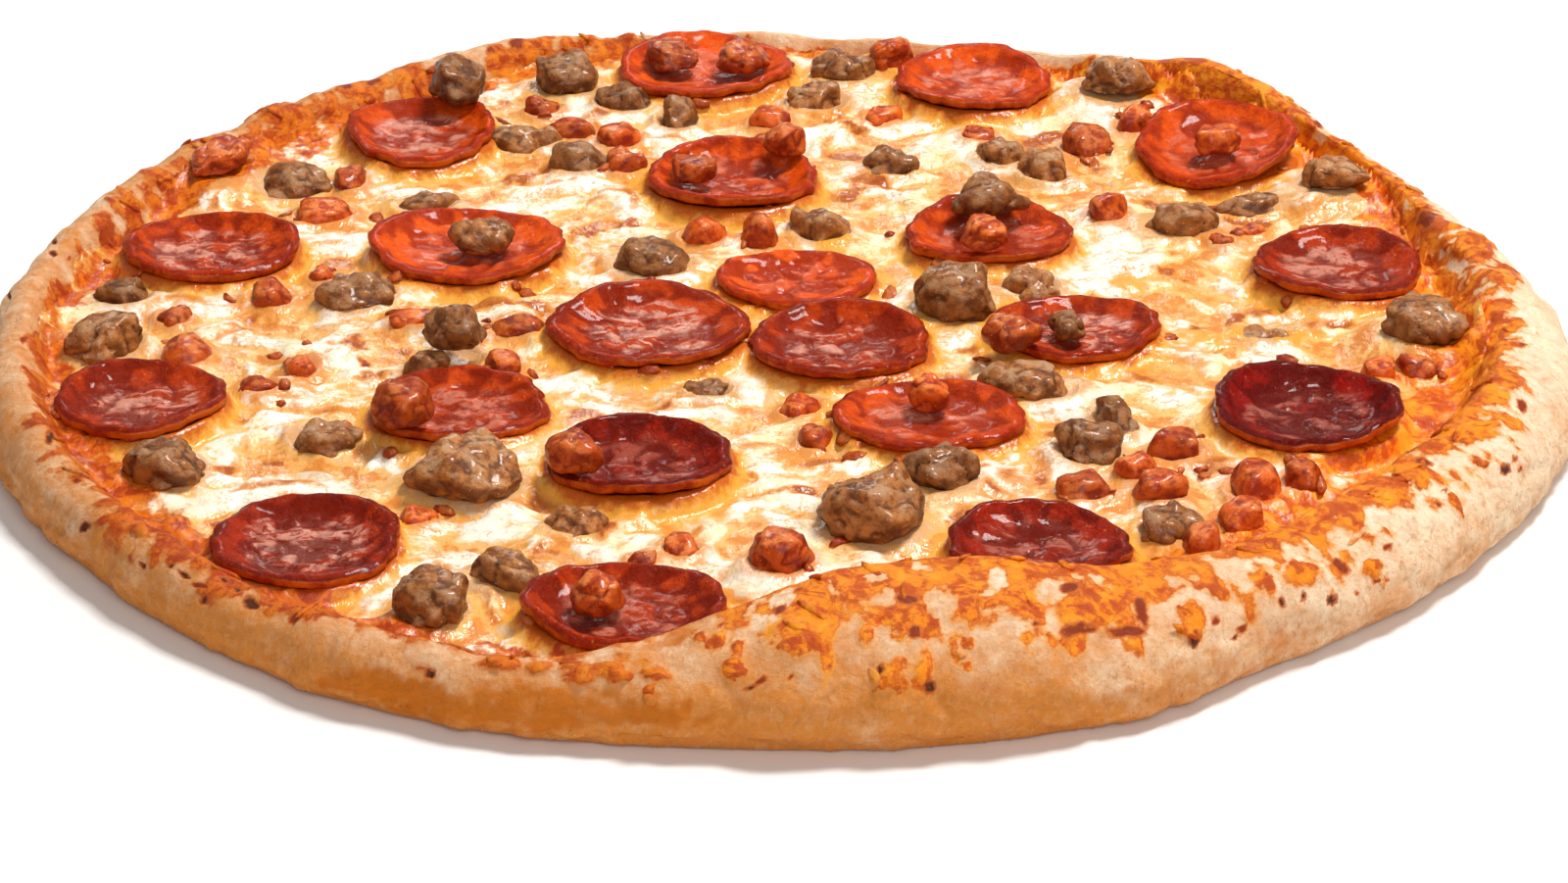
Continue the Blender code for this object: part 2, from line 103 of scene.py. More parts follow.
# Baked cheese on the rim: angle, how far up and over the rim (1 is the crest, 2 the belly),
# how densely it covers, and how far in over the cheese it stays baked
BAKE_STATIONS = (
    (0, 1.15, 0.62, 6), (15, 1.25, 0.72, 7), (27, 1.30, 0.72, 6), (38, 1.30, 0.65, 4),
    (44, 1.60, 0.90, 3), (52, 1.70, 1.00, 3), (58, 1.20, 0.50, 2), (70, 0.80, 0.20, 2),
    (97, 0.90, 0.35, 2), (106, 1.20, 0.55, 3), (118, 1.30, 0.60, 3), (135, 1.35, 0.60, 4),
    (148, 1.30, 0.65, 6), (158, 1.05, 0.50, 4), (170, 0.80, 0.35, 4), (190, 1.05, 0.56, 6),
    (205, 1.25, 0.70, 7), (222, 1.35, 0.76, 7), (240, 1.25, 0.68, 6), (255, 1.15, 0.60, 5),
    (263, 1.15, 0.62, 4), (270, 1.30, 0.80, 4), (280, 1.45, 0.90, 4), (290, 1.40, 0.90, 4),
    (299, 1.35, 0.75, 5), (308, 1.35, 0.80, 7), (318, 1.35, 0.85, 12), (330, 1.30, 0.88, 16),
    (342, 1.20, 0.80, 14), (352, 1.15, 0.68, 10),
)

# Toasting of the dough: angle, on the outer flank, on the crest (1 is well toasted)
TOAST_STATIONS = (
    (0, 0.35, 0.25), (30, 0.30, 0.35), (60, 0.40, 0.45), (100, 0.50, 0.55), (140, 0.60, 0.62),
    (165, 0.62, 0.66), (185, 0.75, 0.66), (205, 0.90, 0.74), (225, 1.00, 0.80), (245, 0.98, 0.74),
    (262, 0.95, 0.56), (275, 0.95, 0.35), (290, 0.88, 0.25), (305, 0.55, 0.20), (320, 0.40, 0.15),
    (340, 0.35, 0.10),
)

# Marks seen on the pizza by kind, in photo pixels: across, down, half width, half height, turn
SEEN_MARKS = {
    "char": (
        (51, 446, 7, 5, -20), (86, 537, 9, 5, -25), (145, 577, 3, 5, -30), (175, 577, 3, 5, 20),
        (187, 585, 10, 3, 35), (207, 611, 7, 8, 20), (228, 587, 6, 4, -20), (240, 598, 6, 4, 0),
        (253, 610, 10, 8, 0), (437, 687, 6, 6, 0), (765, 701, 6, 4, -20), (899, 683, 7, 5, 0),
        (893, 700, 7, 4, 0), (949, 701, 7, 9, 0), (1217, 654, 7, 10, 0), (1263, 650, 6, 4, 0),
        (1309, 614, 4, 7, -15), (1330, 608, 5, 7, -15), (1362, 611, 9, 7, 20), (1474, 500, 4, 3, 30),
        (1538, 478, 6, 7, -20), (1582, 288, 5, 9, -25), (157, 149, 10, 4, -30), (305, 94, 7, 3, -15),
        (55, 246, 4, 3, 0), (54, 257, 5, 3, 0), (10, 302, 2, 5, 0),
    ),
    "red": (
        (77, 487, 6, 4, 0), (49, 410, 6, 4, 0), (66, 401, 5, 3, 0), (25, 345, 8, 5, 20),
        (206, 597, 12, 4, 10), (300, 630, 11, 6, -30), (427, 681, 5, 4, 0), (778, 694, 8, 4, -30),
        (805, 690, 4, 3, 0), (847, 682, 8, 3, 40), (925, 611, 15, 9, 10), (933, 645, 9, 8, 0),
        (795, 624, 10, 6, 0), (1057, 637, 6, 5, 0), (1048, 646, 4, 3, 0), (1160, 666, 4, 3, 0),
        (1090, 600, 13, 8, 0), (1100, 642, 22, 8, 0), (1148, 643, 24, 8, 0), (1166, 622, 8, 20, -20),
        (1271, 640, 6, 6, 0), (1241, 633, 6, 5, 0), (1388, 605, 5, 4, 0), (1372, 577, 14, 7, 40),
        (1408, 592, 12, 4, 0), (1417, 557, 6, 4, -15), (1292, 588, 4, 4, 0), (1450, 471, 11, 5, 15),
        (1469, 515, 5, 4, 0), (1546, 468, 4, 4, 0), (1553, 478, 5, 3, 0), (1553, 414, 6, 10, -20),
        (1455, 222, 15, 14, 20), (1553, 349, 5, 4, 0), (1346, 125, 7, 5, 20), (1366, 132, 12, 4, 15),
        (1426, 166, 4, 4, 0), (103, 187, 4, 4, 0), (354, 87, 8, 7, 0), (380, 82, 9, 5, 0),
        (73, 263, 3, 3, 0), (462, 50, 4, 5, -30), (500, 50, 7, 8, -30), (525, 44, 10, 10, 0),
        (580, 36, 4, 6, -30), (372, 370, 9, 5, 20),
    ),
    "drip": (
        (53, 318, 5, 24, -18), (112, 529, 32, 6, -20), (180, 545, 14, 22, 10), (662, 705, 7, 10, 10),
        (925, 625, 22, 30, 15), (944, 680, 9, 28, 8), (986, 654, 9, 7, 0), (974, 660, 5, 12, 0),
        (989, 677, 6, 9, 0), (1005, 612, 27, 7, 22), (983, 623, 9, 12, -10), (1216, 632, 16, 26, 0),
        (1246, 607, 16, 9, 35), (1325, 586, 26, 16, 0), (1535, 352, 26, 6, -10), (1525, 372, 16, 4, -12),
        (140, 175, 28, 6, -38), (160, 186, 26, 6, 30), (122, 215, 20, 4, 42), (132, 202, 20, 4, 42),
        (83, 256, 4, 13, -25), (530, 60, 16, 10, 0), (556, 50, 8, 6, 0), (600, 40, 10, 8, 0),
        (640, 38, 14, 7, 0),
    ),
    "blister": (
        (143, 542, 13, 9, 0), (345, 606, 24, 7, -10), (508, 675, 28, 13, 5), (548, 680, 14, 9, 0),
        (590, 686, 22, 12, 0), (626, 687, 18, 13, 0), (672, 688, 20, 11, 0), (715, 652, 7, 6, 0),
        (735, 652, 10, 9, 0), (752, 661, 8, 8, 0), (751, 683, 16, 12, 0), (884, 650, 12, 13, 0),
        (908, 688, 18, 15, -20), (815, 658, 36, 15, -10), (1112, 616, 46, 30, 0),
        (1402, 580, 12, 17, -25), (1446, 489, 18, 9, 30), (1506, 442, 37, 14, -8),
        (1487, 514, 19, 6, 55), (1500, 250, 30, 18, 20), (1535, 285, 20, 18, 30), (1520, 318, 24, 10, 0),
        (1400, 152, 16, 10, 30), (285, 117, 28, 13, -8), (330, 112, 14, 9, -20),
    ),
    "golden": (
        (560, 724, 200, 30, 3), (410, 705, 110, 22, 12), (690, 645, 50, 14, -28), (738, 206, 16, 7, 10),
        (850, 250, 26, 20, 0), (1150, 290, 30, 12, 0), (790, 385, 30, 8, 20), (830, 470, 30, 8, 0),
        (1240, 345, 60, 16, -8), (1205, 300, 34, 9, 0), (1330, 350, 40, 12, 0), (1180, 380, 30, 10, 0),
    ),
    "bare": (
        (1018, 588, 12, 18, 0), (962, 612, 18, 22, 10), (893, 586, 14, 7, 0), (943, 573, 14, 6, 0),
        (950, 558, 28, 6, 4), (800, 612, 18, 9, -30), (775, 635, 10, 12, 20), (1075, 600, 22, 16, 0),
        (1030, 640, 26, 12, 0), (1484, 272, 12, 10, 0),
    ),
    "stain": (
        (1060, 666, 5, 4, 0), (1000, 704, 48, 8, 0), (905, 712, 30, 6, -25), (1160, 705, 12, 6, 0),
        (1310, 652, 22, 14, -10), (1360, 645, 30, 8, -10), (1538, 548, 22, 10, -35),
        (1580, 386, 9, 7, 0),
    ),
    "brown": (
        (362, 350, 22, 12, 0), (600, 235, 32, 8, -20), (640, 228, 26, 8, 0), (535, 180, 34, 9, -10),
        (1015, 356, 50, 8, -12), (1260, 328, 24, 7, -20), (1222, 336, 12, 5, 0), (1370, 333, 26, 7, 0),
        (1190, 275, 16, 6, 0), (600, 500, 14, 5, 0), (800, 543, 14, 6, 0), (622, 545, 18, 8, -20),
        (275, 470, 16, 6, 0), (740, 480, 16, 6, 0), (865, 200, 26, 9, -20), (640, 250, 20, 5, 0),
        (1050, 300, 20, 10, 0), (1290, 318, 46, 10, -12),
    ),
    "grey": (
        (430, 320, 30, 12, 0), (330, 480, 44, 16, 0), (520, 640, 34, 22, -20), (745, 600, 22, 26, -20),
        (720, 400, 50, 16, 20), (1210, 520, 26, 20, 0), (880, 320, 30, 12, 0),
    ),
    "shreds": (
        (680, 405, 85, 42, 10), (1255, 325, 80, 40, 0), (560, 370, 40, 20, 0), (300, 400, 50, 30, 0),
        (1150, 420, 40, 20, 0),
    ),
}
DRIP_RADIUS = 175
DRIP_WIDTH = 3.2
MARK_REACH = 4.0
MARK_SOFT = 0.75
MARK_WAVER = 0.42
MARK_GRAIN = 3.0

# Cheese
CHEESE_LEVEL = 8.6
CHEESE_WAVE = 0.8
CHEESE_WAVE_LENGTH = 26.0
CHEESE_WAVE_SLICE = 7.0
CHEESE_GRID = 0.92
CHEESE_EDGE = 0.52
CHEESE_REACH = 185.0
MEET_MARGIN = 14
LUMP_MARGIN = 10
BELOW_ALL = -5.0
CHEESE_THICK = 2.3
LUMP_HOLD = 0.9
LEVEL_SPREAD = 1.0

# Small pieces stuck in the cheese by kind: x, y, half length, half width, height, turn
STUCK_PIECES = {
    "sausage": (
        (-38, 133, 8, 6.5, 6.5, -15), (-24, 123, 6, 6.5, 7, 0), (-62, 109, 9.5, 6.5, 6, 10),
        (-48, 95, 7, 6, 7, 0), (-84, 72, 9, 5, 4, 5), (11, 135, 9, 7, 5.5, -20), (29, 93, 6.5, 6, 7, 0),
        (56, 100, 6, 6, 6, 0), (66, 90, 7.5, 6, 8, -40), (116, 70, 10, 5, 5, 8),
        (11, 57, 7.5, 6.5, 6, -25), (-150, 20, 7.5, 6, 5.5, 10), (-77, -19, 5.5, 5, 6.5, 0),
        (60, 24, 7, 6.5, 7, 25), (74, -43, 4.5, 7.5, 7, 10), (-98, -50, 8, 8, 6, 35),
        (-41, -90, 7.5, 5, 5.5, 0), (83, -91, 8, 7, 6, 10), (112, 1, 8, 4, 2.5, 5),
        (-14, -27, 6, 5, 3, 20), (-117, 83, 10, 8, 7, 15),
    ),
    "bacon": (
        (90, 119, 5, 6, 7, 0), (77, 106, 7, 6.5, 7, 30), (80, 66, 5, 5, 7.5, 0), (-1, 124, 6, 5, 5, 20),
        (-2, 107, 4.5, 4.5, 5, 0), (51, 113, 4.5, 4, 4, 0), (27, 126, 5, 4.5, 4.5, 35),
        (-50, 115, 6, 5, 5.5, 0), (-38, 111, 6, 5.5, 5.5, 30), (-58, 129, 5, 4.5, 4.5, 0),
        (-36, 95, 5.5, 5.5, 5.5, 15), (-108, 66, 9, 5.5, 5, 10), (-103, 85, 4.5, 6, 5, 0),
        (-3, 51, 4.8, 4.8, 9, 0), (-17, 54, 6.5, 5, 6, 0), (-116, 21, 6, 5.5, 5, 0),
        (-105, 32, 4, 3.5, 3.5, 0), (-137, 9, 4.5, 4.5, 4, 0), (-132, -9, 5.5, 8, 5.5, 0),
        (-82, 8, 6, 4.5, 4, 0), (-58, 4, 6.5, 5, 4.5, 0), (-61, -16, 5, 4.5, 5.5, 20),
        (6, -36, 5.5, 4.5, 4, 30), (9, -50, 4, 6, 4, -20), (-19, -100, 4.5, 4.5, 5, 30),
        (-27, -105, 3.5, 3.5, 3.5, 0), (87, -56, 6.5, 5.5, 6.5, 10), (78, -66, 5.5, 5, 5.5, 25),
        (66, -75, 6.5, 5, 5.5, 0), (82, -76, 6, 5, 6.5, 0), (102, -74, 6.5, 7, 8, 15),
        (113, -70, 4.5, 5.5, 6.5, -10), (98, -88, 5.5, 6, 6.5, 0), (135, -19, 4.5, 4.5, 5.5, 0),
        (144, -18, 4.5, 4.5, 5.5, 20), (-105, -16, 4, 5.5, 4, 0), (-114, -26, 5, 4, 3.5, 0),
        (89, -98, 5.5, 5.5, 6, 0), (-75, -87, 4.5, 4, 4, 0), (106, 50, 3.5, 3, 3, 0),
        (113, 56, 3.5, 3, 3, 0),
    ),
}
STUCK_DEPTH = 1.6
STUCK_DETAIL = {"sausage": 4, "bacon": 3}
STUCK_SEED = 50
TONE_STEP = 0.37
LUMP_SHIFT = 7.7
LOOSE_LEVELS = 2
LUMP_REST_SHARE = 0.36
LUMP_NOISE_SCALE = 1.7
LUMP_NOISE_STEP = Vector((3.1, 0.0, 0.0))
LUMP_ROUGHNESS = {"sausage": 0.17, "bacon": 0.07}
TORN_FLATNESS = 0.8
TORN_TOP = 0.76
TORN_TOP_PRESS = 0.55
TORN_SIDES = {"sausage": 7, "bacon": 6}
BACON_SQUARENESS = 0.45
BACON_CUBE_SIZE = 0.85

# Pepperoni
SLICE_SIDES = 84
SLICE_RINGS = 28
SLICE_UNDER_RINGS = 4
SLICE_HARMONICS = 6
SLICE_SHIFT = 31.0
WALL_PLACES = (0.22, -0.08, -0.34)

# Look of each slice: tone (0 deep red, 1 orange), share of greyish sheen (a painted reflection), height of
# its lip, wrinkling
SLICE_LOOKS = (
    (1.00, 0.25, 0.6, 0.7), (0.85, 0.55, 0.7, 0.7), (0.75, 0.80, 1.0, 0.9), (0.80, 0.25, 1.1, 0.7),
    (0.80, 0.50, 1.2, 1.0), (0.55, 0.90, 1.2, 1.0), (1.00, 0.25, 0.8, 1.0), (0.70, 0.30, 1.2, 0.9),
    (0.30, 0.70, 1.0, 0.8), (1.00, 0.15, 0.3, 1.3), (0.50, 1.00, 0.9, 1.2), (0.40, 0.85, 1.1, 1.0),
    (0.45, 0.90, 0.8, 0.9), (0.35, 0.80, 1.1, 1.0), (0.55, 0.45, 0.8, 1.0), (0.75, 0.50, 0.5, 1.0),
    (0.00, 0.28, 1.4, 1.2), (0.08, 0.15, 1.4, 1.0), (0.20, 0.80, 0.9, 1.2), (0.35, 0.40, 1.2, 1.2),
    (0.10, 0.35, 1.2, 1.0),
)

# Stage, in metres: half the floor's width, and the lights' places, widths and colours
FLOOR_HALF = 4.0
LIGHTS = {
    "key": ((0.6, 0.4, 1.65), 0.42, (1.0, 0.98, 0.95)),
    "sheen": ((-0.1, 1.5, 0.80), 0.30, (1.0, 0.98, 0.96)),
    "fill": ((0.25, -1.5, 0.95), 1.0, (1.0, 0.97, 0.93)),
}

# Noise
GRADIENT_COUNT = 512
GRADIENT_SEED = 5
SEED_SHIFT = 17.31
HASH_PRIMES = (73856093, 19349663, 83492791)
NOISE_GAIN = 1.6

_random = np.random.default_rng(GRADIENT_SEED).normal(size=(GRADIENT_COUNT, 3))
GRADIENTS = _random / np.linalg.norm(_random, axis=1, keepdims=True)


def noise(points, size, seed=0):
    """Smooth noise, about -1 to 1, at points in millimetres, with features of one size."""
    place = np.asarray(points) / size + seed * SEED_SHIFT
    cell = np.floor(place).astype(np.int64)
    part = place - cell
    ease = part**3 * (part * (part * 6 - 15) + 10)
    total = np.zeros(len(place))
    for corner in np.ndindex(2, 2, 2):
        key = (cell + corner) * HASH_PRIMES
        pick = (key[:, 0] ^ key[:, 1] ^ key[:, 2]) % GRADIENT_COUNT
        slope = (GRADIENTS[pick] * (part - corner)).sum(axis=1)
        weight = np.where(np.array(corner) == 1, ease, 1 - ease).prod(axis=1)
        total += weight * slope
    return total * NOISE_GAIN


def fractal(points, size, octaves, seed=0):
    """Noise in several sizes, each half the one before."""
    total = np.zeros(len(points))
    gain = 1.0
    for octave in range(octaves):
        total += gain * noise(points, size / 2**octave, seed + octave)
        gain *= 0.5
    return total


def ridges(points, size, seed=0):
    """Sharp-crested noise, 0 to 1."""
    return np.clip(1 - 1.6 * np.abs(noise(points, size, seed)), 0, 1) ** 2


def smooth_step(low, high, value):
    """0 below low, 1 above high, and smooth between."""
    share = np.clip((value - low) / (high - low), 0, 1)
    return share * share * (3 - 2 * share)


def smooth_max(first, second, blend):
    """The larger of two heights, with a rounded join."""
    overlap = np.clip(0.5 + 0.5 * (first - second) / blend, 0, 1)
    return second + (first - second) * overlap + blend * overlap * (1 - overlap)


def stations(angles, table, column):
    """One column of a table of stations at some angles, blended over the neighbours."""
    rows = np.array(table, float)
    steps = np.arange(-STATION_BLEND, STATION_BLEND + 1)
    weights = np.exp(-((steps / (0.5 * STATION_BLEND)) ** 2))
    total = np.zeros(np.shape(angles))
    for step, weight in zip(steps, weights / weights.sum()):
        total += weight * np.interp(angles + step, rows[:, 0], rows[:, column], period=360)
    return total


def photo_place(points):
    """Where points in millimetres appear in the photograph, in its pixels."""
    depth = CAMERA_DISTANCE - points @ TO_CAMERA
    across = PHOTO_CENTRE[0] + FOCAL_PIXELS * points[:, 0] / depth
    down = PHOTO_CENTRE[1] - FOCAL_PIXELS * (points @ CAMERA_UP) / depth
    return across, down


def sight_line(across, down):
    """Start and direction of the line of sight through a pixel of the photograph."""
    right = (across - PHOTO_CENTRE[0]) / FOCAL_PIXELS
    up = (PHOTO_CENTRE[1] - down) / FOCAL_PIXELS
    direction = np.array((right, 0.0, 0.0)) + CAMERA_UP * up - TO_CAMERA
    return Vector(TO_CAMERA * CAMERA_DISTANCE), Vector(direction).normalized()


def node_shape(name):
    """Points in millimetres and triangles of a CAD node, from a merged copy."""
    shape = bmesh.new()
    shape.from_mesh(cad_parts[name].data)
    bmesh.ops.remove_doubles(shape, verts=shape.verts[:], dist=1e-6)
    points = np.array([v.co for v in shape.verts]) / MM
    faces = [tuple(v.index for v in f.verts) for f in shape.faces]
    shape.free()
    return points, faces


def nodes_called(start):
    """The CAD nodes whose names start with a word, in order."""
    return sorted(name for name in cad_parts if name.startswith(start))


def new_piece(name, points, faces, material, channels=None):
    """A finished mesh piece from points in millimetres, with its float attributes."""
    mesh = bpy.data.meshes.new(name)
    mesh.from_pydata(np.asarray(points) * MM, [], faces)
    mesh.validate()
    for key, values in (channels or {}).items():
        layer = mesh.attributes.new(key, "FLOAT", "POINT")
        layer.data.foreach_set("value", np.asarray(values, np.float32))
    mesh.materials.append(material)
    mesh.shade_smooth()
    piece = bpy.data.objects.new(name, mesh)
    bpy.context.scene.collection.objects.link(piece)
    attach(piece, BODY)
    return piece


def band_faces(first, second, count):
    """Quads of the band between two closed rings of points."""
    near = np.arange(count)
    after = (near + 1) % count
    return np.stack([first + near, first + after, second + after, second + near], axis=1)


def grid_faces(rings, count):
    """Quads of a closed band of rings of points."""
    return [band_faces(k * count, (k + 1) * count, count) for k in range(rings - 1)]


def grid_normals(grid):
    """Outward normals of a closed band of rings, shaped rings by sections by 3."""
    along = np.roll(grid, -1, axis=1) - np.roll(grid, 1, axis=1)
    across = np.gradient(grid, axis=0)
    normal = np.cross(along, across)
    return normal / np.maximum(np.linalg.norm(normal, axis=2, keepdims=True), 1e-9)


class Marks:
    """The marks seen in the photograph, found on the solids and painted on finer meshes."""

    def __init__(self):
        self.trees = []
        for node in ("crust", "cheese"):
            points, faces = node_shape(node)
            self.trees.append(BVHTree.FromPolygons([Vector(p) for p in points], faces))

    def centre(self, across, down):
        """The place on the crust or the cheese that a pixel shows."""
        start, direction = sight_line(across, down)
        hits = [tree.ray_cast(start, direction) for tree in self.trees]
        near = [hit for hit in hits if hit[0] is not None]
        return np.array(min(near, key=lambda hit: hit[3])[0]) if near else None

    def paint(self, points, normals):
        """Strength of each kind of mark at the points, and a dome for the raised kinds."""
        across, down = photo_place(points)
        waver = MARK_WAVER * fractal(points, MARK_GRAIN, 2, 40)
        facing = normals @ TO_CAMERA > 0.03
        rows = [(kind, *row) for kind, group in SEEN_MARKS.items() for row in group]
        strength = {kind: np.zeros(len(points)) for kind in SEEN_MARKS}
        dome = np.zeros(len(points))
        for kind, u, v, half_width, half_height, turn in rows:
            centre = self.centre(u, v)
            if centre is None:
                continue
            size = max(half_width, 2.3 * half_height) * CAMERA_DISTANCE / FOCAL_PIXELS
            gap = np.abs(points - centre).max(axis=1)
            near = np.nonzero((gap < size + MARK_REACH) & facing)[0]
            cosine = math.cos(math.radians(turn))
            sine = math.sin(math.radians(turn))
            along = ((across[near] - u) * cosine + (down[near] - v) * sine) / half_width
            athwart = ((down[near] - v) * cosine - (across[near] - u) * sine) / half_height
            far = np.hypot(along, athwart) + waver[near]
            amount = smooth_step(0, MARK_SOFT, 1.15 - far)
            strength[kind][near] = np.maximum(strength[kind][near], amount)
            if kind in ("blister", "drip"):
                dome[near] = np.maximum(dome[near], np.clip(1 - far**2, 0, 1) ** 0.5)
        return strength, dome


class Rim:
    """The rim's outline and section at any angle, as the solids have them."""

    def __init__(self, angles):
        self.outer = stations(angles, RIM_STATIONS, 1)
        self.crest = self.outer - stations(angles, RIM_STATIONS, 2)
        self.foot = self.outer - stations(angles, RIM_STATIONS, 3)
        self.height = stations(angles, RIM_STATIONS, 4)
        self.reach = stations(angles, BAKE_STATIONS, 1)
        self.density = stations(angles, BAKE_STATIONS, 2)
        self.inward = stations(angles, BAKE_STATIONS, 3)
        self.toast_flank = stations(angles, TOAST_STATIONS, 1)
        self.toast_crest = stations(angles, TOAST_STATIONS, 2)

    def section(self, place):
        """Radius and height at a place on the section: 3 underside, 2 belly, 1 crest, 0 foot."""
        belly = BELLY_SHARE * self.height
        turn = 0.5 * math.pi * (3 - place if place >= 2 else 2 - place)
        if place >= 2:
            return self.outer - TUCK * (1 - math.sin(turn)), belly * (1 - math.cos(turn))
        if place >= 1:
            radius = self.outer - (self.outer - self.crest) * (1 - math.cos(turn))
            return radius, belly + (self.height - belly) * math.sin(turn)
        fall = 0.5 - 0.5 * math.cos(math.pi * (1 - place))
        radius = self.crest - (self.crest - self.foot) * (1 - place)
        return radius, self.height - (self.height - FLOOR) * fall

    def slope(self, radius):
        """Place on the inner slope at a radius, and the slope's height there."""
        place = (radius - self.foot) / (self.crest - self.foot)
        share = np.clip(1 - place, 0, 1)
        height = self.height - (self.height - FLOOR) * (0.5 - 0.5 * np.cos(math.pi * share))
        return place, height


def baked_cover(points, rim, place, radius):
    """How far baked orange cheese covers the rim and the cheese beside it, 0 to 1."""
    inside = np.clip(rim.foot - radius, 0, None)
    edge = np.where(inside > 0, 1 - inside / rim.inward, np.clip((rim.reach - place) / 0.35, -2, 1))
    blotch = fractal(points, 7.5, 3, 11)
    angle = np.arctan2(points[:, 1], points[:, 0])
    run = np.stack([angle * DRIP_RADIUS / DRIP_WIDTH, place * 1.6, np.zeros(len(points))], axis=1)
    drips = fractal(run, 1.0, 2, 14)
    value = 0.55 * edge + rim.density - 0.82 + 0.6 * blotch + 0.35 * drips * (place > 0.7)
    return smooth_step(-0.25, 0.45, value)


def make_crust(settings, marks):
    """The crust: a puffed, floury rim with blisters and baked cheese, a flat underside and a floor."""
    angles = np.arange(CRUST_SECTIONS) * 360.0 / CRUST_SECTIONS
    rim = Rim(angles)
    places = np.concatenate([
        np.linspace(3, 2, LOWER_RINGS)[:-1],
        np.linspace(2, 1, OUTER_RINGS)[:-1],
        np.linspace(1, 0, INNER_RINGS),
    ])
    rays = np.stack([np.cos(np.radians(angles)), np.sin(np.radians(angles))], axis=1)
    rings = []
    for place in places:
        radius, height = rim.section(place)
        rings.append(np.column_stack([rays * radius[:, None], height]))
    grid = np.array(rings)
    normals = grid_normals(grid).reshape(-1, 3)
    flat = grid.reshape(-1, 3)
    count = len(places)
    wide = Rim(np.tile(angles, count))
    place = np.repeat(places, CRUST_SECTIONS)
    radius = np.hypot(flat[:, 0], flat[:, 1])
    cover = baked_cover(flat, wide, place, radius)
    seen, dome = marks.paint(flat, normals)
    cover = np.clip(np.maximum(cover, np.maximum(seen["blister"], seen["drip"])) - seen["bare"], 0, 1)
    raised = smooth_step(0.0, 0.4, place) * smooth_step(0, 2.5, flat[:, 2])
    lower = smooth_step(1.25, 2.2, place)
    lumps = settings.lumps * fractal(flat, 22, 2, 1)
    dents = -settings.dents * ridges(flat, 15, 3) * (0.4 + 0.6 * lower)
    grain = settings.grain * (fractal(flat, 3.4, 3, 5) * (0.35 + 0.65 * lower))
    crumbly = 0.45 * settings.grain * noise(flat, 1.5, 9) * lower
    baked = cover * (0.35 + 0.3 * fractal(flat, 4.0, 2, 20)) * settings.baked_thick
    bumps = 0.9 * dome * np.maximum(seen["blister"], 0.6 * seen["drip"]) - 0.35 * seen["char"]
    folds = 0.5 * settings.dents * fractal(flat * (1, 1, 3.0), 9, 2, 7) * lower
    push = raised * (lumps + dents + grain + crumbly + baked + bumps + folds)
    push -= 0.5 * smooth_step(1.2, 2.0, place) * raised
    points = flat + normals * push[:, None]
    low, high = (np.array(corner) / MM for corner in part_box("crust"))
    shoulder = high[2] - SHRED_ROOM - CREST_EASE
    over = np.clip(points[:, 2] - shoulder, 0, None)
    points[:, 2] = np.minimum(points[:, 2], shoulder) + CREST_EASE * np.tanh(over / CREST_EASE)
    points = np.clip(points, low, high)
    faces = grid_faces(count, CRUST_SECTIONS)
    start = len(points)
    edge = rim.section(3)[0]
    under = []
    for k in range(1, UNDERSIDE_RINGS):
        share = 1 - k / UNDERSIDE_RINGS
        ring = np.column_stack([rays * (edge * share)[:, None], np.zeros(CRUST_SECTIONS)])
        ring[:, 2] = np.clip(0.35 * noise(ring, 9, 31), 0, None)
        under.append(ring)
        first = 0 if k == 1 else start + (k - 2) * CRUST_SECTIONS
        faces.append(band_faces(first, start + (k - 1) * CRUST_SECTIONS, CRUST_SECTIONS)[:, ::-1])
    under = np.concatenate(under)
    points = np.concatenate([points, under, [(0, 0, 0), (0, 0, FLOOR)]])
    quads = np.concatenate(faces).tolist()
    last_under = start + len(under) - CRUST_SECTIONS
    last_inner = (count - 1) * CRUST_SECTIONS
    for i in range(CRUST_SECTIONS):
        j = (i + 1) % CRUST_SECTIONS
        quads.append((len(points) - 2, last_under + j, last_under + i))
        quads.append((len(points) - 1, last_inner + i, last_inner + j))
    rest = np.zeros(len(points) - start)
    blend = smooth_step(0.9, 1.9, place)
    tan = wide.toast_crest + (wide.toast_flank - wide.toast_crest) * blend
    tan += 0.22 * smooth_step(1.55, 2.3, place) - 0.12 * blend
    toast = np.concatenate([tan + 0.22 * fractal(flat, 16, 3, 50), rest + 0.8])
    channels = {
        "baked": np.concatenate([cover, rest]),
        "hot": np.concatenate([seen["red"], rest]),
        "charred": np.concatenate([seen["char"], rest]),
        "golden": np.concatenate([np.maximum(seen["golden"], 0.4 * seen["stain"]), rest]),
        "toast": toast,
        "browned": np.concatenate([wide.toast_crest, rest]),
        "flank": np.concatenate([blend, rest + 1]),
        "crumby": np.concatenate([blend * smooth_step(6.5, 2.5, flat[:, 2]) * (flat[:, 2] > 0.6), rest]),
        "under": np.concatenate([np.zeros(start), rest + 1]),
    }
    piece = new_piece("baked_crust", points, quads, crust_material(settings), channels)
    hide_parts("crust")
    return piece


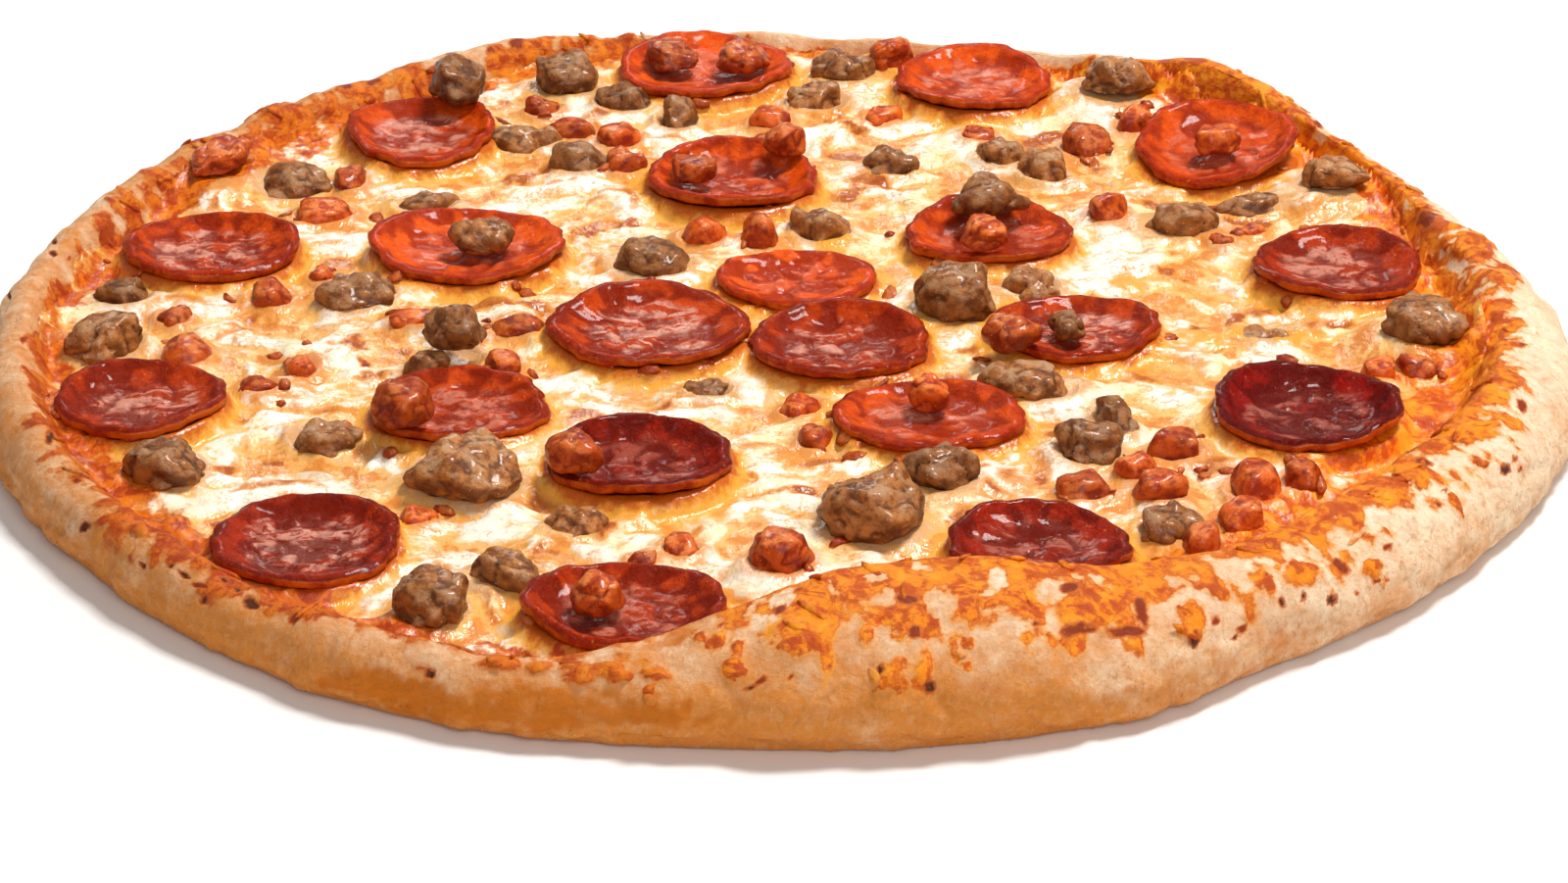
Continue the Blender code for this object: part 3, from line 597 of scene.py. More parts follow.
def lump_base(kind, half_length, half_width, height, turn, seed, detail):
    """Points and faces of one piece of meat with its flat base at height zero, as its solid has them."""
    shape = bmesh.new()
    bmesh.ops.create_icosphere(shape, subdivisions=detail, radius=1.0)
    rest = LUMP_REST_SHARE * height
    cosine = math.cos(math.radians(turn))
    sine = math.sin(math.radians(turn))
    points = []
    for vert in shape.verts:
        unit = vert.co.copy()
        if kind == "bacon":
            cube = unit / max(abs(c) for c in unit)
            unit = unit.lerp(cube * BACON_CUBE_SIZE, BACON_SQUARENESS)
        rough = blender_noise.noise(vert.co * LUMP_NOISE_SCALE + seed * LUMP_NOISE_STEP)
        unit *= 1.0 + LUMP_ROUGHNESS[kind] * rough
        x = unit.x * half_length
        y = unit.y * half_width
        z = max(rest + unit.z * (height - rest), 0.0)
        points.append((cosine * x - sine * y, sine * x + cosine * y, z))
    faces = [tuple(v.index for v in face.verts) for face in shape.faces]
    shape.free()
    return np.array(points), faces


def mesh_normals(points, faces):
    """Area-weighted normals of a closed triangle mesh."""
    corners = np.asarray(faces)
    first, second, third = (points[corners[:, k]] for k in range(3))
    normal = np.cross(second - first, third - first)
    total = np.zeros_like(points)
    for k in range(3):
        np.add.at(total, corners[:, k], normal)
    return total / np.maximum(np.linalg.norm(total, axis=1, keepdims=True), 1e-9)


def cheese_wave(x, y):
    """Height of the cheese's long waves, the same as on its solid."""
    values = [
        blender_noise.noise(Vector((a, b, CHEESE_WAVE_SLICE)) / CHEESE_WAVE_LENGTH)
        for a, b in zip(x.tolist(), y.tolist())
    ]
    return CHEESE_LEVEL + CHEESE_WAVE * np.array(values)


def footprints():
    """Every topping as an ellipse on the cheese: kind, x, y, half length, half width, turn, lowest point."""
    rows = []
    for kind in ("pepperoni", "sausage", "bacon"):
        for name in nodes_called(kind):
            low, high = (np.array(corner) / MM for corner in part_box(name))
            middle = (low + high) / 2
            half = (high - low) / 2
            rows.append((kind, middle[0], middle[1], half[0], half[1], 0.0, low[2]))
    for kind, group in STUCK_PIECES.items():
        for x, y, half_length, half_width, _, turn in group:
            rows.append((kind, x, y, half_length, half_width, turn, CHEESE_LEVEL))
    return rows


def ellipse_gap(x, y, row):
    """About how far points lie outside a topping's ellipse, negative inside."""
    _, cx, cy, half_length, half_width, turn, _ = row
    cosine = math.cos(math.radians(turn))
    sine = math.sin(math.radians(turn))
    along = (x - cx) * cosine + (y - cy) * sine
    athwart = (y - cy) * cosine - (x - cx) * sine
    return (np.hypot(along / half_length, athwart / half_width) - 1) * min(half_length, half_width)


def places_near(x, y, low, high, margin):
    """Numbers of the places within a margin of a box, seen from above."""
    across = (x > low[0] - margin) & (x < high[0] + margin)
    return np.nonzero(across & (y > low[1] - margin) & (y < high[1] + margin))[0]


def rise_at_toppings(settings, x, y, height):
    """How far the cheese rises at toppings, the oil, the broth with painted shade round the sausages and the
    grease there, and where it is open.
    """
    hug, oil, broth, greasy = (np.zeros(len(x)) for _ in range(4))
    open_part = np.ones(len(x))
    for row in footprints():
        inside = (np.abs(x - row[1]) < row[3] + MEET_MARGIN) & (np.abs(y - row[2]) < row[4] + MEET_MARGIN)
        near = np.nonzero(inside)[0]
        gap = ellipse_gap(x[near], y[near], row)
        rise = settings.hug * np.exp(-np.clip(gap, 0, None) / 1.6) * smooth_step(-3.0, 0.0, gap)
        spread = np.exp(-np.clip(gap, 0, None) / 2.5)
        # Round a sausage: grease from the meat and painted shade at its foot
        if row[0] == "sausage":
            broth[near] = np.maximum(broth[near], spread)
        else:
            greasy[near] = np.maximum(greasy[near], spread)
        hug[near] = np.maximum(hug[near], rise)
        open_part[near] = np.minimum(open_part[near], smooth_step(-2.0, 1.5, gap))
    for name in nodes_called("sausage") + nodes_called("bacon"):
        solid, sides = node_shape(name)
        low, high = solid.min(axis=0), solid.max(axis=0)
        tree = BVHTree.FromPolygons([Vector(p) for p in solid], sides)
        middle = (low + high) / 2
        row = ("", middle[0], middle[1], (high[0] - low[0]) / 2, (high[1] - low[1]) / 2, 0.0, low[2])
        near = places_near(x, y, low, high, LUMP_MARGIN)
        starts = [Vector((a, b, BELOW_ALL)) for a, b in zip(x[near], y[near])]
        hits = [tree.ray_cast(start, Vector((0, 0, 1)))[0] for start in starts]
        under = np.array([hit[2] if hit is not None else np.nan for hit in hits])
        room = under - 0.1 - height[near]
        gap = np.clip(ellipse_gap(x[near], y[near], row), 0, None)
        lowest, common = np.nanmin(room), np.nanpercentile(room, 30)
        if lowest > settings.slice_rise and common - lowest < LEVEL_SPREAD:
            continue
        usual = np.clip(common, 0, settings.slice_rise) + LUMP_HOLD
        held = np.clip(np.minimum(room + LUMP_HOLD, usual + 0.3), 0, None)
        rise = np.where(np.isnan(room), usual * np.exp(-((gap / (0.8 + 1.3 * usual)) ** 2)), held)
        hug[near] = np.maximum(hug[near], rise)
    for name in nodes_called("pepperoni"):
        low, high = (np.array(corner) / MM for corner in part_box(name))
        near = places_near(x, y, low, high, MEET_MARGIN)
        share, gap, under = Slice(name).meet(x[near], y[near])
        room = np.clip(under - 0.15 - height[near], 0, settings.slice_rise)
        rise = room * np.where(gap < 0, 1.0, np.exp(-((gap / 1.7) ** 2)))
        hug[near] = np.where(share < 1, rise, np.maximum(hug[near], rise))
        oil[near] = np.maximum(oil[near], np.exp(-np.clip(gap, 0, None) / 3.4))
        open_part[near] = np.minimum(open_part[near], smooth_step(-1.0, 2.5, gap))
    return hug, oil, broth, greasy, open_part


def close_below(points, top):
    """A sheet's used points and its faces, closed by a skirt down to the crust's floor and a fan there."""
    total = len(points)
    under = np.column_stack([points[:, 0], points[:, 1], np.full(total, FLOOR)])
    sides = np.concatenate([top[:, [0, 1]], top[:, [1, 2]], top[:, [2, 3]], top[:, [3, 0]]])
    keys = sides[:, 0] * total + sides[:, 1]
    back = sides[:, 1] * total + sides[:, 0]
    border = sides[~np.isin(keys, back)]
    used = np.zeros(total, bool)
    used[top.ravel()] = True
    rim_used = np.zeros(total, bool)
    rim_used[border.ravel()] = True
    lower_number = np.full(total, -1)
    lower_number[rim_used] = np.arange(rim_used.sum())
    renumber = np.full(total, -1)
    renumber[used] = np.arange(used.sum())
    lower_start = used.sum()
    skirt = np.column_stack([
        renumber[border[:, 1]],
        renumber[border[:, 0]],
        lower_start + lower_number[border[:, 0]],
        lower_start + lower_number[border[:, 1]],
    ])
    centre = lower_start + rim_used.sum()
    faces = renumber[top].tolist() + skirt.tolist()
    faces += [(centre, lower_start + b, lower_start + a) for a, b in lower_number[border].tolist()]
    all_points = np.concatenate([points[used], under[rim_used], [(0.0, 0.0, FLOOR)]])
    return all_points, faces, used


def make_cheese(settings, marks):
    """The cheese: a fine melted sheet that climbs the rim and rises against every topping."""
    steps = np.arange(-int(CHEESE_REACH / CHEESE_GRID), int(CHEESE_REACH / CHEESE_GRID) + 1)
    side = len(steps)
    x, y = (a.ravel() * CHEESE_GRID for a in np.meshgrid(steps, steps, indexing="ij"))
    radius = np.hypot(x, y)
    angle = np.degrees(np.arctan2(y, x)) % 360
    rim = Rim(angle)
    place, slope = rim.slope(radius)
    flat = np.column_stack([x, y, np.zeros(len(x))])
    edge = CHEESE_EDGE + 0.16 * fractal(flat, 11, 2, 60)
    keep = place < edge + 0.14
    number = np.full(len(x), -1)
    number[keep] = np.arange(keep.sum())
    x, y, radius, place, slope, edge = (a[keep] for a in (x, y, radius, place, slope, edge))
    flat = flat[keep]
    rim = Rim(angle[keep])
    thick = CHEESE_THICK * np.clip((edge - place) / 0.3, -1, 1)
    level = cheese_wave(x, y)
    climbing = slope + thick
    height = np.where(place > -0.8, smooth_max(climbing, level, 2.2), level)
    height = np.where(place > edge - 0.1, np.minimum(height, climbing), height)
    seen, dome = marks.paint(np.column_stack([x, y, height]), np.tile((0.0, 0.0, 1.0), (len(x), 1)))
    warp = np.column_stack([fractal(flat, 22, 2, 70), fractal(flat, 22, 2, 72), np.zeros(len(x))])
    swirl = flat + 8 * warp
    strands = ridges(swirl * (0.28, 1.0, 1), 3.0, 75)
    patch = np.maximum(smooth_step(0.15, 0.6, noise(flat, 24, 80)), seen["shreds"])
    swell = fractal(swirl * (0.75, 1.0, 1), 10.0, 3, 82)
    blobs = smooth_step(-0.30, 0.45, swell)
    bubbles = smooth_step(0.3, 0.8, noise(flat, 3.6, 83))
    relief = settings.strands * (strands - 0.4) * patch
    relief += settings.bubbles * (1.5 * blobs - 0.6 + 0.3 * bubbles)
    relief += settings.lumps * fractal(flat, 11, 2, 84) + 0.08 * noise(flat, 2.2, 86)
    hug, oil, broth, greasy, open_part = rise_at_toppings(settings, x, y, height)
    height += hug + relief * (0.15 + 0.85 * open_part) * smooth_step(edge, edge - 0.25, place)
    points = np.column_stack([x, y, height])
    cover = baked_cover(points, rim, place, radius)
    cover = np.clip(np.maximum(cover, np.maximum(seen["blister"], seen["drip"])) - seen["bare"], 0, 1)
    blot = fractal(swirl * (0.7, 1.0, 1), 10.0, 3, 90) + 0.35 * noise(flat, 34, 95)
    brown = np.maximum(smooth_step(0.05, 0.80, blot) * open_part, seen["brown"])
    points[:, 2] += cover * 0.4 * np.abs(fractal(points, 3.0, 2, 22)) + 0.5 * dome
    margin = np.exp(-(((place - edge + 0.05) / 0.22) ** 2))
    left = number.reshape(side, side)
    corners = np.stack([left[:-1, :-1], left[1:, :-1], left[1:, 1:], left[:-1, 1:]], axis=-1).reshape(-1, 4)
    top = corners[(corners >= 0).all(axis=1)]
    all_points, faces, used = close_below(points, top)
    spare = np.zeros(len(all_points) - used.sum())
    channels = {
        "baked": cover,
        "browned": rim.toast_crest,
        "hot": seen["red"],
        "charred": seen["char"],
        "golden": np.maximum(np.maximum(seen["golden"], 0.5 * seen["stain"]), 0.8 * margin),
        "brown": brown,
        "oil": oil,
        "greasy": greasy,
        "grey": seen["grey"],
        "broth": broth,
        "valley": patch * (1 - strands) * open_part,
        "hollow": smooth_step(0.30, -0.50, swell) * open_part,
    }
    channels = {key: np.concatenate([values[used], spare]) for key, values in channels.items()}
    piece = new_piece("melted_cheese", all_points, faces, cheese_material(settings), channels)
    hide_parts("cheese")
    return piece


def torn(points, seed, sides):
    """The points of a lump with some sides pressed flat, as on torn or diced meat."""
    draw = np.random.default_rng(seed)
    middle = points.mean(axis=0)
    for direction in draw.normal(size=(sides, 3)) * (1, 1, 0.7):
        direction = direction / np.linalg.norm(direction)
        direction[2] = abs(direction[2])
        along = (points - middle) @ direction
        limit = along.max() * draw.uniform(0.62, 0.88)
        points = points - np.outer(np.clip(along - limit, 0, None) * TORN_FLATNESS, direction)
    top = middle[2] + (points[:, 2].max() - middle[2]) * TORN_TOP
    points[:, 2] -= TORN_TOP_PRESS * np.clip(points[:, 2] - top, 0, None)
    return points


def rough_lump(points, faces, kind, seed):
    """A craggier surface for one lump of meat, and how deep each point lies in its creases, where shade is
    painted.
    """
    points = torn(points, seed, TORN_SIDES[kind])
    normals = mesh_normals(points, faces)
    shifted = points + seed * LUMP_SHIFT
    if kind == "sausage":
        grain = np.abs(fractal(shifted, 7.5, 2, 101))
        small = np.abs(noise(shifted, 3.0, 105))
        push = 2.3 * grain + 0.45 * small + 0.18 * noise(shifted, 1.1, 104) - 0.75
        crease = np.clip(1 - grain / 0.20, 0, 1) * 0.9 + np.clip(1 - small / 0.15, 0, 1) * 0.2
    else:
        grain = np.abs(fractal(shifted, 6.5, 2, 111))
        push = 1.3 * grain + 0.20 * noise(shifted, 1.6, 114) - 0.35
        crease = np.clip(1 - grain / 0.2, 0, 1)
    low = points[:, 2].min()
    return points + normals * (push * smooth_step(0, 1.2, points[:, 2] - low + 0.4))[:, None], crease


def finer_node(name, levels):
    """A smoothed, finer copy of a CAD node: points in millimetres and triangles."""
    points, faces = node_shape(name)
    mesh = bpy.data.meshes.new("finer")
    mesh.from_pydata(points.tolist(), [], faces)
    holder = bpy.data.objects.new("finer", mesh)
    bpy.context.scene.collection.objects.link(holder)
    smooth = holder.modifiers.new("Smooth", "SUBSURF")
    smooth.levels = levels
    smooth.render_levels = levels
    graph = bpy.context.evaluated_depsgraph_get()
    fine = bpy.data.meshes.new_from_object(holder.evaluated_get(graph))
    fine.calc_loop_triangles()
    points = np.zeros(len(fine.vertices) * 3)
    fine.vertices.foreach_get("co", points)
    triangles = np.zeros(len(fine.loop_triangles) * 3, np.int32)
    fine.loop_triangles.foreach_get("vertices", triangles)
    bpy.data.objects.remove(holder, do_unlink=True)
    bpy.data.meshes.remove(mesh)
    bpy.data.meshes.remove(fine)
    return points.reshape(-1, 3), triangles.reshape(-1, 3)


def make_loose_lumps(kind, settings):
    """Each loose piece of one meat, in the place and form of its solid."""
    material = meat_material(kind, settings)
    for number, name in enumerate(nodes_called(kind)):
        points, faces = finer_node(name, LOOSE_LEVELS)
        rough, crease = rough_lump(points, faces, kind, number)
        channels = {"crease": crease, "tone": np.full(len(rough), (number * TONE_STEP) % 1.0)}
        piece = new_piece(f"roasted_{name}", rough, faces.tolist(), material, channels)
        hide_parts(name)


def make_stuck_lumps(kind, settings):
    """All the small pieces of one meat that are stuck in the cheese, as one piece."""
    all_points, all_faces, crease_shades, tones = [], [], [], []
    start = 0
    first = 0 if kind == "sausage" else len(STUCK_PIECES["sausage"])
    for seed, (x, y, half_length, half_width, height, turn) in enumerate(STUCK_PIECES[kind], first):
        tall = height + STUCK_DEPTH
        points, faces = lump_base(kind, half_length, half_width, tall, turn, seed, STUCK_DETAIL[kind])
        base = cheese_wave(np.array([float(x)]), np.array([float(y)]))[0] - STUCK_DEPTH
        faces = np.array(faces)
        rough, crease = rough_lump(points + (x, y, base), faces, kind, seed + STUCK_SEED)
        all_points.append(rough)
        all_faces.append(faces + start)
        crease_shades.append(crease)
        tones.append(np.full(len(points), (seed * TONE_STEP) % 1.0))
        start += len(points)
    channels = {"crease": np.concatenate(crease_shades), "tone": np.concatenate(tones)}
    faces = np.concatenate(all_faces).tolist()
    material = meat_material(kind, settings)
    piece = new_piece(f"stuck_{kind}", np.concatenate(all_points), faces, material, channels)
    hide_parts("cheese")


def harmonics(angles):
    """Cosines and sines of an angle, for a smooth closed curve."""
    columns = [np.ones_like(angles)]
    for k in range(1, SLICE_HARMONICS + 1):
        columns += [np.cos(k * angles), np.sin(k * angles)]
    return np.stack(columns, axis=1)


def closed_fit(ring, values):
    """Weights of a smooth closed curve through the values of a ring of points."""
    at = np.arctan2(ring[:, 1], ring[:, 0])
    return np.linalg.lstsq(harmonics(at), values, rcond=None)[0]


class Slice:
    """One slice as its solid has it: where it lies, its outline and how its edge curls."""

    def __init__(self, name):
        points, _ = node_shape(name)
        self.middle = points.mean(axis=0)
        _, _, axes = np.linalg.svd(points - self.middle)
        up = axes[2] * np.sign(axes[2][2])
        self.turn = np.array(Vector((0, 0, 1)).rotation_difference(Vector(up)).to_matrix())
        local = (points - self.middle) @ self.turn
        order = np.argsort(np.hypot(local[:, 0], local[:, 1]))
        ring = (len(points) - 2) // 2
        centre, _, outer = np.split(local[order], [2, 2 + ring])
        self.base = centre[:, 2].mean()
        self.thick = abs(centre[0, 2] - centre[1, 2])
        self.reach_fit = closed_fit(outer, np.hypot(outer[:, 0], outer[:, 1]))
        self.edge_fit = closed_fit(outer, outer[:, 2])

    def reach(self, angles):
        """Radius of the outline at some angles."""
        return harmonics(angles) @ self.reach_fit

    def level(self, angles, share):
        """Height of the slice's middle surface at shares of its radius, in its own axes."""
        return self.base + (harmonics(angles) @ self.edge_fit - self.base) * share**3

    def meet(self, x, y):
        """Share of the radius, gap beyond the outline and underside above places on the cheese."""
        normal = self.turn[:, 2]
        slant = normal[0] * (x - self.middle[0]) + normal[1] * (y - self.middle[1])
        plane = self.middle[2] - slant / normal[2]
        local = (np.column_stack([x, y, plane]) - self.middle) @ self.turn
        angles = np.arctan2(local[:, 1], local[:, 0])
        far = np.hypot(local[:, 0], local[:, 1])
        reach = self.reach(angles)
        under = self.level(angles, np.minimum(far / reach, 1)) - 0.5 * self.thick
        return far / reach, far - reach, plane + under / normal[2]


def make_slice(name, seed, material, settings):
    """One curled pepperoni slice with a raised lip round a wrinkled, greasy face."""
    body = Slice(name)
    tone, sheen, lip, wrinkling = SLICE_LOOKS[seed - 1]
    angles = np.arange(SLICE_SIDES) * 2 * math.pi / SLICE_SIDES
    around = np.column_stack([np.cos(angles) * 3.0, np.sin(angles) * 3.0, np.full(SLICE_SIDES, seed * 5.0)])
    reach = body.reach(angles) * (1 + settings.ragged * fractal(around, 1.0, 3, 120))
    top = np.linspace(0, 1, SLICE_RINGS)[1:] ** 0.8
    shares = np.concatenate([top, np.ones(len(WALL_PLACES)), np.linspace(0.96, 0.2, SLICE_UNDER_RINGS)])
    shares[len(top) - 1] = 0.985
    sides = np.concatenate([np.full(len(top), 0.5), WALL_PLACES, np.full(SLICE_UNDER_RINGS, -0.5)])
    rows = []
    for share, side in zip(shares, sides):
        height = body.level(angles, share) + side * body.thick
        rows.append(np.column_stack([np.cos(angles) * reach * share, np.sin(angles) * reach * share, height]))
    shape = np.concatenate(rows)
    share = np.repeat(shares, SLICE_SIDES)
    face = np.repeat(sides, SLICE_SIDES) == 0.5
    lip_wave = np.tile(0.75 + 0.45 * fractal(around, 1.4, 2, 122), len(shares))
    seeded = shape + seed * SLICE_SHIFT
    middle = smooth_step(0.86, 0.62, share)
    ridge = lip * settings.lip * lip_wave * np.exp(-(((share - 0.90) / 0.065) ** 2))
    wrinkle = wrinkling * settings.wrinkles * (fractal(seeded, 7.0, 4, 130) - 0.9 * ridges(seeded, 6.5, 133))
    fleck = 0.10 * noise(seeded, 1.1, 136)
    round_off = 0.5 * smooth_step(0.93, 1.0, share)
    push = ridge - settings.cup * middle + wrinkle * (0.35 + 0.65 * middle) + fleck - round_off
    shape[:, 2] += np.where(face, push, 0.2 * noise(seeded, 3.0, 138))
    rim_face = np.where(share > 0.97, 1 + 0.012 * noise(seeded, 2.0, 139), 1.0)
    shape[:, :2] *= rim_face[:, None]
    first = [[0, 0, body.base + 0.5 * body.thick - settings.cup + wrinkle[:SLICE_SIDES].mean()]]
    last = [[0, 0, body.base - 0.5 * body.thick]]
    local = np.concatenate([shape, first, last])
    placed = local @ body.turn.T + body.middle
    faces = np.concatenate(grid_faces(len(rows), SLICE_SIDES))[:, ::-1].tolist()
    end = (len(rows) - 1) * SLICE_SIDES
    for i in range(SLICE_SIDES):
        j = (i + 1) % SLICE_SIDES
        faces.append((len(local) - 2, i, j))
        faces.append((len(local) - 1, end + j, end + i))
    channels = {
        "share": np.concatenate([share, [0, 0]]),
        "wrinkle": np.concatenate([np.where(face, wrinkle, 0), [0, 0]]),
        "tone": np.full(len(local), tone),
        # Sheen: share of the painted reflection on the slice's glossy patches
        "sheen": np.full(len(local), sheen),
        "face": np.concatenate([face, [1, 0]]).astype(float),
    }
    piece = new_piece(f"roasted_{name}", placed, faces, material, channels)
    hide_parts(name)


class Finish:
    """A procedural material under construction."""

    def __init__(self, name):
        self.material = bpy.data.materials.new(name)
        self.material.use_nodes = True
        self.tree = self.material.node_tree
        self.shader = self.tree.nodes["Principled BSDF"]
        self.place = self.tree.nodes.new("ShaderNodeTexCoord").outputs["Object"]

    def put(self, socket, value):
        """Link a socket to another, or set its value."""
        if isinstance(value, bpy.types.NodeSocket):
            self.tree.links.new(value, socket)
        elif hasattr(value, "__len__") and len(value) == 3 and socket.type == "RGBA":
            socket.default_value = (*value, 1.0)
        else:
            socket.default_value = value

    def scaled(self, size, stretch):
        """Object coordinates in units of a size in millimetres."""
        mapping = self.tree.nodes.new("ShaderNodeMapping")
        self.put(mapping.inputs["Vector"], self.place)
        mapping.inputs["Scale"].default_value = [s / (size * MM) for s in stretch]
        return mapping.outputs["Vector"]

    def noise(self, size, detail=3.0, rough=0.55, stretch=(1, 1, 1), warp=0.0):
        """Noise, 0 to 1, with features of a size in millimetres."""
        texture = self.tree.nodes.new("ShaderNodeTexNoise")
        self.put(texture.inputs["Vector"], self.scaled(size, stretch))
        texture.inputs["Scale"].default_value = 1.0
        texture.inputs["Detail"].default_value = detail
        texture.inputs["Roughness"].default_value = rough
        texture.inputs["Distortion"].default_value = warp
        return texture.outputs["Fac"]

    def specks(self, size, reach):
        """Scattered round specks, 1 inside, with cells of a size in millimetres."""
        texture = self.tree.nodes.new("ShaderNodeTexVoronoi")
        self.put(texture.inputs["Vector"], self.scaled(size, (1, 1, 1)))
        texture.inputs["Scale"].default_value = 1.0
        return self.band(texture.outputs["Distance"], 0.4 * reach, reach, 1.0, 0.0)

    def channel(self, name):
        """A float attribute of the piece."""
        node = self.tree.nodes.new("ShaderNodeAttribute")
        node.attribute_name = name
        return node.outputs["Fac"]

    def upward(self):
        """How far the surface faces up, -1 to 1."""
        geometry = self.tree.nodes.new("ShaderNodeNewGeometry")
        split = self.tree.nodes.new("ShaderNodeSeparateXYZ")
        self.put(split.inputs[0], geometry.outputs["Normal"])
        return split.outputs["Z"]

    def math(self, operation, first, second):
        """Two values brought together."""
        node = self.tree.nodes.new("ShaderNodeMath")
        node.operation = operation
        self.put(node.inputs[0], first)
        self.put(node.inputs[1], second)
        return node.outputs[0]

    def times(self, first, second):
        """The product of two values."""
        return self.math("MULTIPLY", first, second)

    def band(self, value, low, high, to_low=0.0, to_high=1.0):
        """A value brought from one range to another, and held inside it."""
        node = self.tree.nodes.new("ShaderNodeMapRange")
        node.interpolation_type = "SMOOTHSTEP"
        self.put(node.inputs["Value"], value)
        for key, number in (("From Min", low), ("From Max", high), ("To Min", to_low), ("To Max", to_high)):
            node.inputs[key].default_value = number
        return node.outputs["Result"]

    def ragged(self, name, size, amount):
        """A float attribute with fine noise of a size in millimetres added to it."""
        grain = self.math("SUBTRACT", self.noise(size, 4, 0.65), 0.5)
        return self.math("ADD", self.channel(name), self.times(grain, amount))

    def mix(self, share, first, second, blend="MIX"):
        """Two colours mixed by a share."""
        node = self.tree.nodes.new("ShaderNodeMix")
        node.data_type = "RGBA"
        node.blend_type = blend
        self.put(node.inputs[0], share)
        self.put(node.inputs[6], first)
        self.put(node.inputs[7], second)
        return node.outputs[2]

    def layers(self, colour, value, *rows):
        """A colour with others laid over it, each from low to high values and up to its own share."""
        for low, high, most, tint in rows:
            colour = self.mix(self.band(value, low, high, 0.0, most), colour, tint)
        return colour

    def bump(self, height, distance, strength=1.0, below=None):
        """A bump from a height, 0 to 1, over a distance in millimetres."""
        node = self.tree.nodes.new("ShaderNodeBump")
        self.put(node.inputs["Height"], height)
        node.inputs["Distance"].default_value = distance * MM
        node.inputs["Strength"].default_value = strength
        if below is not None:
            self.put(node.inputs["Normal"], below)
        return node.outputs["Normal"]

    def finish(self, colour, roughness, normal, **constants):
        """Connect the shader and return the material."""
        self.put(self.shader.inputs["Base Color"], colour)
        self.put(self.shader.inputs["Roughness"], roughness)
        self.put(self.shader.inputs["Normal"], normal)
        for key, value in constants.items():
            self.put(self.shader.inputs[key.replace("_", " ")], value)
        return self.material


def bake_over(finish, base):
    """Layers of baked cheese, red-brown and charred spots over a base colour."""
    baked = finish.ragged("baked", 2.4, 1.5)
    mottled = finish.band(finish.noise(3.4, 4, 0.65), 0.38, 0.56)
    bright = finish.mix(mottled, (0.62, 0.085, 0.003), (0.97, 0.28, 0.006))
    colour = finish.layers(
        base, baked,
        (0.10, 0.55, 0.85, (0.88, 0.33, 0.045)),
        (0.40, 0.66, 1.0, (0.68, 0.140, 0.008)),
        (0.55, 0.90, 1.0, bright),
    )
    wavy = finish.noise(7.0, 4, 0.62, warp=1.2)
    dark = finish.times(finish.band(wavy, 0.52, 0.60), finish.band(baked, 0.40, 0.65))
    colour = finish.mix(finish.times(dark, 0.80), colour, (0.50, 0.060, 0.003))
    gaps = finish.times(finish.band(wavy, 0.46, 0.36), finish.band(baked, 0.3, 0.6))
    colour = finish.mix(finish.times(gaps, 0.60), colour, (1.0, 0.42, 0.022))
    browned = finish.times(finish.band(finish.channel("browned"), 0.40, 0.72), finish.band(baked, 0.10, 0.50))
    colour = finish.mix(browned, colour, (0.76, 0.58, 0.60), "MULTIPLY")
    colour = finish.layers(
        colour, finish.ragged("hot", 2.0, 1.1),
        (0.15, 0.55, 0.9, (0.64, 0.14, 0.012)),
        (0.50, 0.90, 1.0, (0.28, 0.034, 0.005)),
    )
    colour = finish.layers(
        colour, finish.ragged("charred", 1.8, 1.1),
        (0.15, 0.50, 0.9, (0.50, 0.10, 0.012)),
        (0.50, 0.95, 1.0, (0.10, 0.022, 0.006)),
    )
    return colour, finish.band(baked, 0.40, 0.60)


def crust_material(settings):
    """Baked dough: pale and floury, toasted in patches, with baked cheese and dark blisters."""
    finish = Finish("baked_dough")
    toast = finish.ragged("toast", 5.0, 1.2)
    dough = finish.mix(finish.band(toast, -0.1, 1.0), tuple(settings.pale), tuple(settings.toasted))
    streak = finish.noise(1.3, 5, 0.75, (1, 1, 0.7), 0.6)
    floury = finish.times(finish.channel("flank"), finish.band(streak, 0.48, 0.68, 0.0, 0.35))
    dough = finish.mix(floury, dough, tuple(settings.flour))
    blush = finish.band(finish.noise(3.2, 6, 0.75, (1, 1, 0.8), 0.5), 0.51, 0.66, 0.0, 0.42)
    dough = finish.mix(blush, dough, (0.62, 0.20, 0.050))
    # Creamy pale patches, strongest on the crest and inner slope where the dough is less toasted: partly
    # paler dough, partly a painted highlight on the top of the rim
    cream = finish.band(finish.noise(5, 4, 0.65, (1, 1, 1), 0.5), 0.50, 0.62, 0.0, 0.9)
    cream = finish.times(cream, finish.band(finish.channel("flank"), 0.3, 1.0, 1.0, 0.25))
    cream = finish.times(cream, finish.band(finish.channel("toast"), 0.15, 0.70, 1.0, 0.15))
    dough = finish.mix(cream, dough, (0.99, 0.82, 0.62))
    grit = finish.band(finish.noise(1.1, 5, 0.75, (1, 1, 0.6), 0.6), 0.52, 0.64, 0.0, 0.5)
    dough = finish.mix(finish.times(grit, finish.channel("flank")), dough, (0.50, 0.185, 0.050))
    golden = finish.ragged("golden", 9.0, 2.0)
    dough = finish.mix(finish.band(golden, 0.10, 1.1, 0.0, 0.95), dough, (0.60, 0.155, 0.004))
    singed = finish.band(finish.noise(8, 5, 0.6), 0.35, 0.7)
    under = finish.mix(singed, (0.58, 0.28, 0.095), (0.26, 0.095, 0.026))
    dough = finish.mix(finish.channel("under"), dough, under)
    colour, edge = bake_over(finish, dough)
    roughness = finish.mix(edge, (0.70, 0.70, 0.70), (0.36, 0.36, 0.36))
    fine = finish.bump(finish.noise(0.8, 4, 0.7), 0.4, 0.7)
    normal = finish.bump(finish.noise(2.4, 6, 0.72, (1, 1, 1.4), 0.4), 1.1, 0.7, fine)
    return finish.finish(
        colour, roughness, normal,
        Specular_IOR_Level=0.22, Subsurface_Weight=0.04,
        Subsurface_Radius=(1.0, 0.45, 0.2), Subsurface_Scale=0.002,
    )


